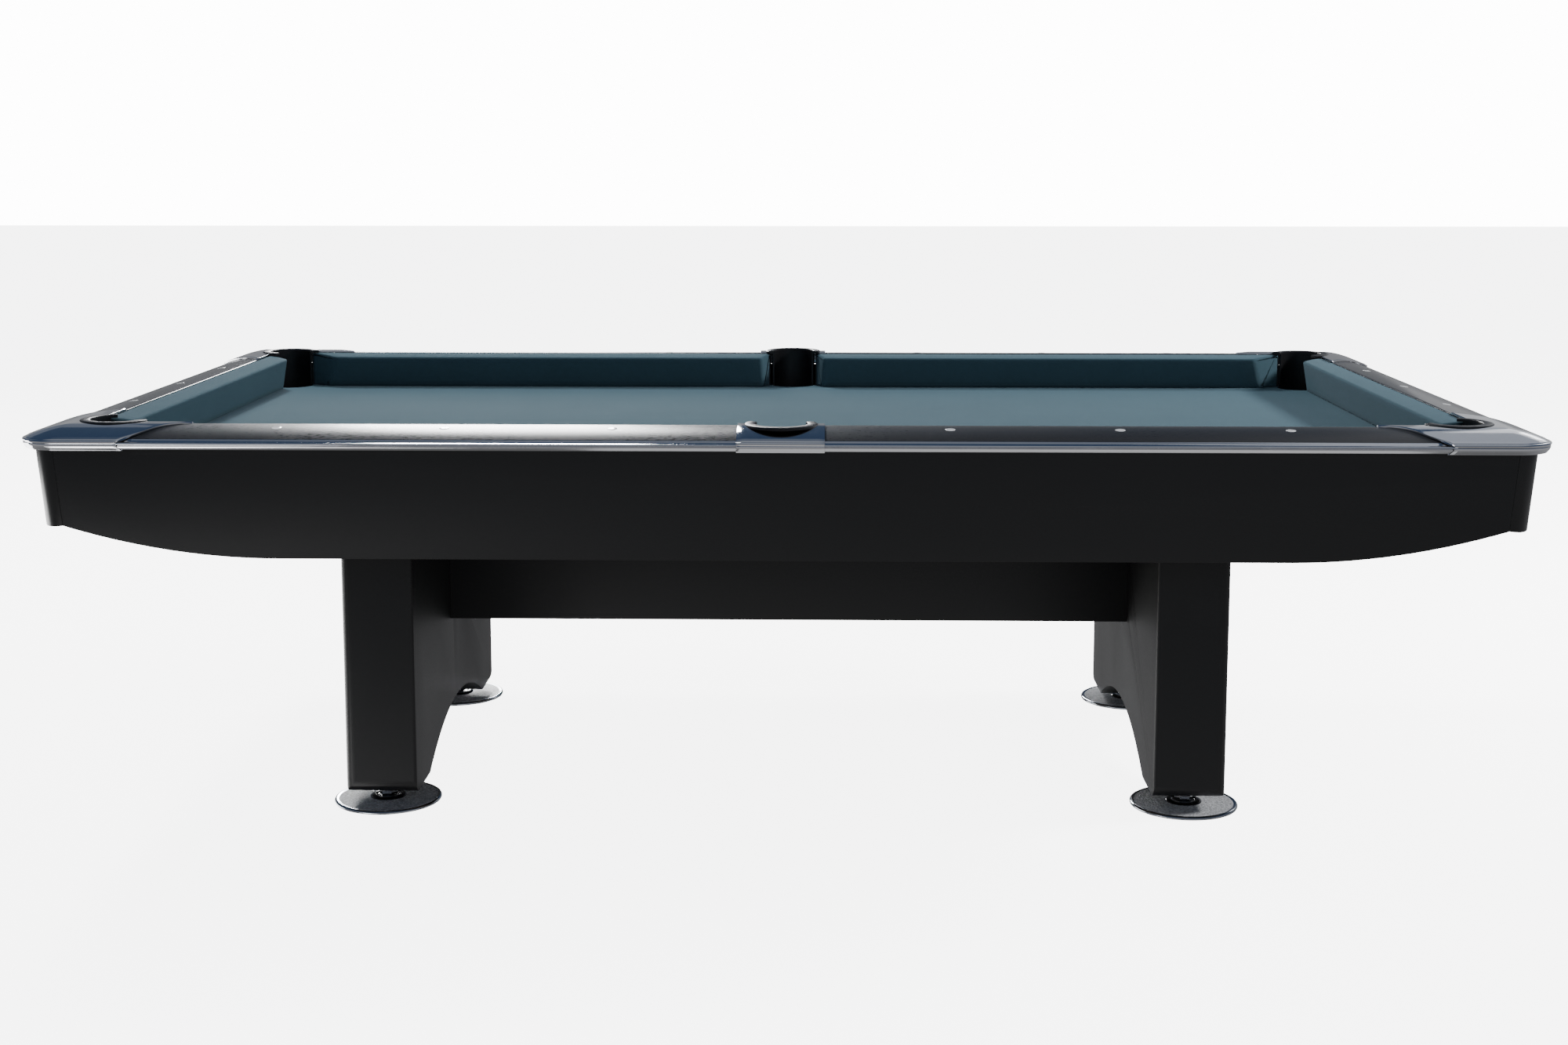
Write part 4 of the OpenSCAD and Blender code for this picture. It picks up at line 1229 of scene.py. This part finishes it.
class TABLE_OT_studio(bpy.types.Operator):
    """Set up the floor, the lights and the camera"""

    bl_idname = "table.studio"
    bl_label = "Studio"

    def execute(self, context):
        """Makes a pale floor, soft lights and the camera."""
        settings = context.scene.studio_settings
        bpy.ops.object.select_all(action="DESELECT")
        bpy.ops.mesh.primitive_plane_add(size=FLOOR_SIZE, location=(0, 0, -0.0005))
        floor = context.active_object
        floor.name = "studio_floor"
        floor.data.materials.append(floor_finish("studio_floor", settings.floor_glow))
        floor.visible_glossy = floor.visible_diffuse = floor.visible_shadow = False
        self.world(context.scene)
        for lamp in self.lamps(settings.key_power):
            self.light(*lamp)
        camera_data = bpy.data.cameras.new("camera")
        camera = linked("camera", camera_data)
        camera.location = settings.camera_place
        camera.rotation_euler = (math.pi / 2 - settings.camera_down, 0.0, settings.camera_left)
        camera_data.sensor_width = SENSOR_WIDTH
        camera_data.lens = settings.lens
        camera_data.shift_x, camera_data.shift_y = CAMERA_SHIFT
        camera_data.clip_end = CAMERA_CLIP_END
        context.scene.camera = camera
        return {"FINISHED"}

    def lamps(self, key_power):
        """Every lamp's name, place, target, width, height, power, colour and what it lights."""
        table, left, right = (0.0, 0.0, 0.75), (-1.3, -0.8, 0.8), (1.3, -0.8, 0.8)
        cool = (0.98, 0.99, 1.0)
        return [
            ("rear_key", (-2.6, 3.6, 5.2), table, 1.1, 1.1, key_power, (1.0, 0.99, 0.97), "shade"),
            ("right_key", (5.1, 0.7, 2.76), (5.1, 0.701, 0.0), 1.2, 1.0, 640.0,
             (1.0, 0.99, 0.98), "shade"),
            ("overhead", (-0.3, 0.8, 5.0), (-0.2, 0.3, 0.75), 3.4, 2.4, 45.0, WHITE, "shade"),
            ("front_fill", (1.6, -4.2, 1.3), (0.0, 0.6, 0.8), 3.6, 2.0, 42.0, WHITE, "shade"),
            ("rear_window", (-2.02, 8.0, 4.2), (-0.5, -0.7, 0.8), 1.7, 4.4, 900.0, WHITE, "gloss"),
            ("left_wall", (-5.2, 2.0, -1.2), (-1.4, -0.7, 0.7), 4.2, 2.2, 180.0, WHITE, "gloss"),
            ("left_rear_wall", (-4.88, 4.93, 2.6), left, 3.2, 3.2, 3.0, WHITE, "gloss"),
            ("low_left_panel", (-2.1, -2.1, -1.3), left, 1.7, 1.5, 9.0, WHITE, "gloss"),
            ("low_left_strip", (-2.05, -2.0, -1.2), left, 0.7, 0.9, 8.0, WHITE, "gloss"),
            ("low_panel", (0.6, -1.5, -1.2), (0.6, -1.0, 0.8), 2.4, 1.9, 5.5, WHITE, "gloss"),
            ("right_wall", (4.72, 5.13, 2.26), right, 3.75, 2.5, 10.0, cool, "gloss"),
            ("right_sky", (4.22, 3.7, 5.3), right, 3.5, 5.6, 22.0, cool, "gloss"),
            ("right_glow", (4.0, 4.0, 3.15), right, 2.0, 1.8, 8.0, WHITE, "gloss"),
            ("right_spot", (3.95, 3.95, 3.1), right, 0.9, 0.8, 7.0, WHITE, "gloss"),
        ]

    def light(self, name, place, target, width, height, power, colour, seen_in):
        """Adds one soft rectangular light that faces a target, for the shade or for the gloss."""
        data = bpy.data.lights.new(name, "AREA")
        data.shape = "RECTANGLE"
        data.size, data.size_y = width, height
        data.energy = power
        data.color = colour
        lamp = linked(name, data)
        lamp.location = place
        aim = Vector(target) - Vector(place)
        lamp.rotation_euler = aim.to_track_quat("-Z", "Y").to_euler()
        lamp.visible_glossy = seen_in != "shade"
        lamp.visible_diffuse = seen_in != "gloss"
        lamp.visible_camera = False

    def world(self, scene):
        """Surroundings that are white to the camera and a darker blue sky to the pieces."""
        world = bpy.data.worlds.new("studio_world")
        world.use_nodes = True
        scene.world = world
        graph = Graph(world.node_tree)
        height = graph.split(graph.node("ShaderNodeTexCoord", output="Generated"))[2]
        sky = graph.node("ShaderNodeValToRGB", {"stops": SKY_STOPS}, {"Fac": height * 0.5 + 0.5})
        soft = graph.node("ShaderNodeBackground", {}, {"Color": sky})
        white = graph.node("ShaderNodeBackground", {}, {"Color": WHITE, "Strength": WHITE_STRENGTH})
        camera_ray = graph.node("ShaderNodeLightPath", output="Is Camera Ray")
        seen = graph.node("ShaderNodeMixShader", {}, {0: camera_ray, 1: soft, 2: white})
        graph.put(graph.tree.nodes["World Output"].inputs["Surface"], seen)


class TABLE_PT_panel(bpy.types.Panel):
    """The table's operators and settings"""

    bl_idname = "TABLE_PT_panel"
    bl_label = "Pool table"
    bl_space_type = "VIEW_3D"
    bl_region_type = "UI"
    bl_category = "Pool table"

    def draw(self, context):
        """Lists the operators and the settings."""
        for operator in OPERATORS:
            self.layout.operator(operator.bl_idname)
        for group in (context.scene.table_sizes, context.scene.table_colours,
                      context.scene.studio_settings):
            for name in group.__annotations__:
                self.layout.prop(group, name)


GROUPS = [("table_sizes", TableSizes), ("table_colours", TableColours),
          ("studio_settings", StudioSettings)]
OPERATORS = [TABLE_OT_studio, TABLE_OT_finishes, TABLE_OT_bed, TABLE_OT_cushions,
             TABLE_OT_rails, TABLE_OT_sights, TABLE_OT_castings, TABLE_OT_pockets, TABLE_OT_cabinet,
             TABLE_OT_feet]
CLASSES = [group for _, group in GROUPS] + OPERATORS + [TABLE_PT_panel]


def register():
    """Registers every class and hangs the settings on the scene."""
    for cls in CLASSES:
        bpy.utils.register_class(cls)
    for name, group in GROUPS:
        setattr(bpy.types.Scene, name, PointerProperty(type=group))


def unregister():
    """Takes everything away again."""
    for name, _ in GROUPS:
        delattr(bpy.types.Scene, name)
    for cls in reversed(CLASSES):
        bpy.utils.unregister_class(cls)


def main():
    """Builds the whole table."""
    register()
    for operator in OPERATORS:
        group, _, name = operator.bl_idname.partition(".")
        getattr(getattr(bpy.ops, group), name)()


if __name__ == "__main__":
    main()
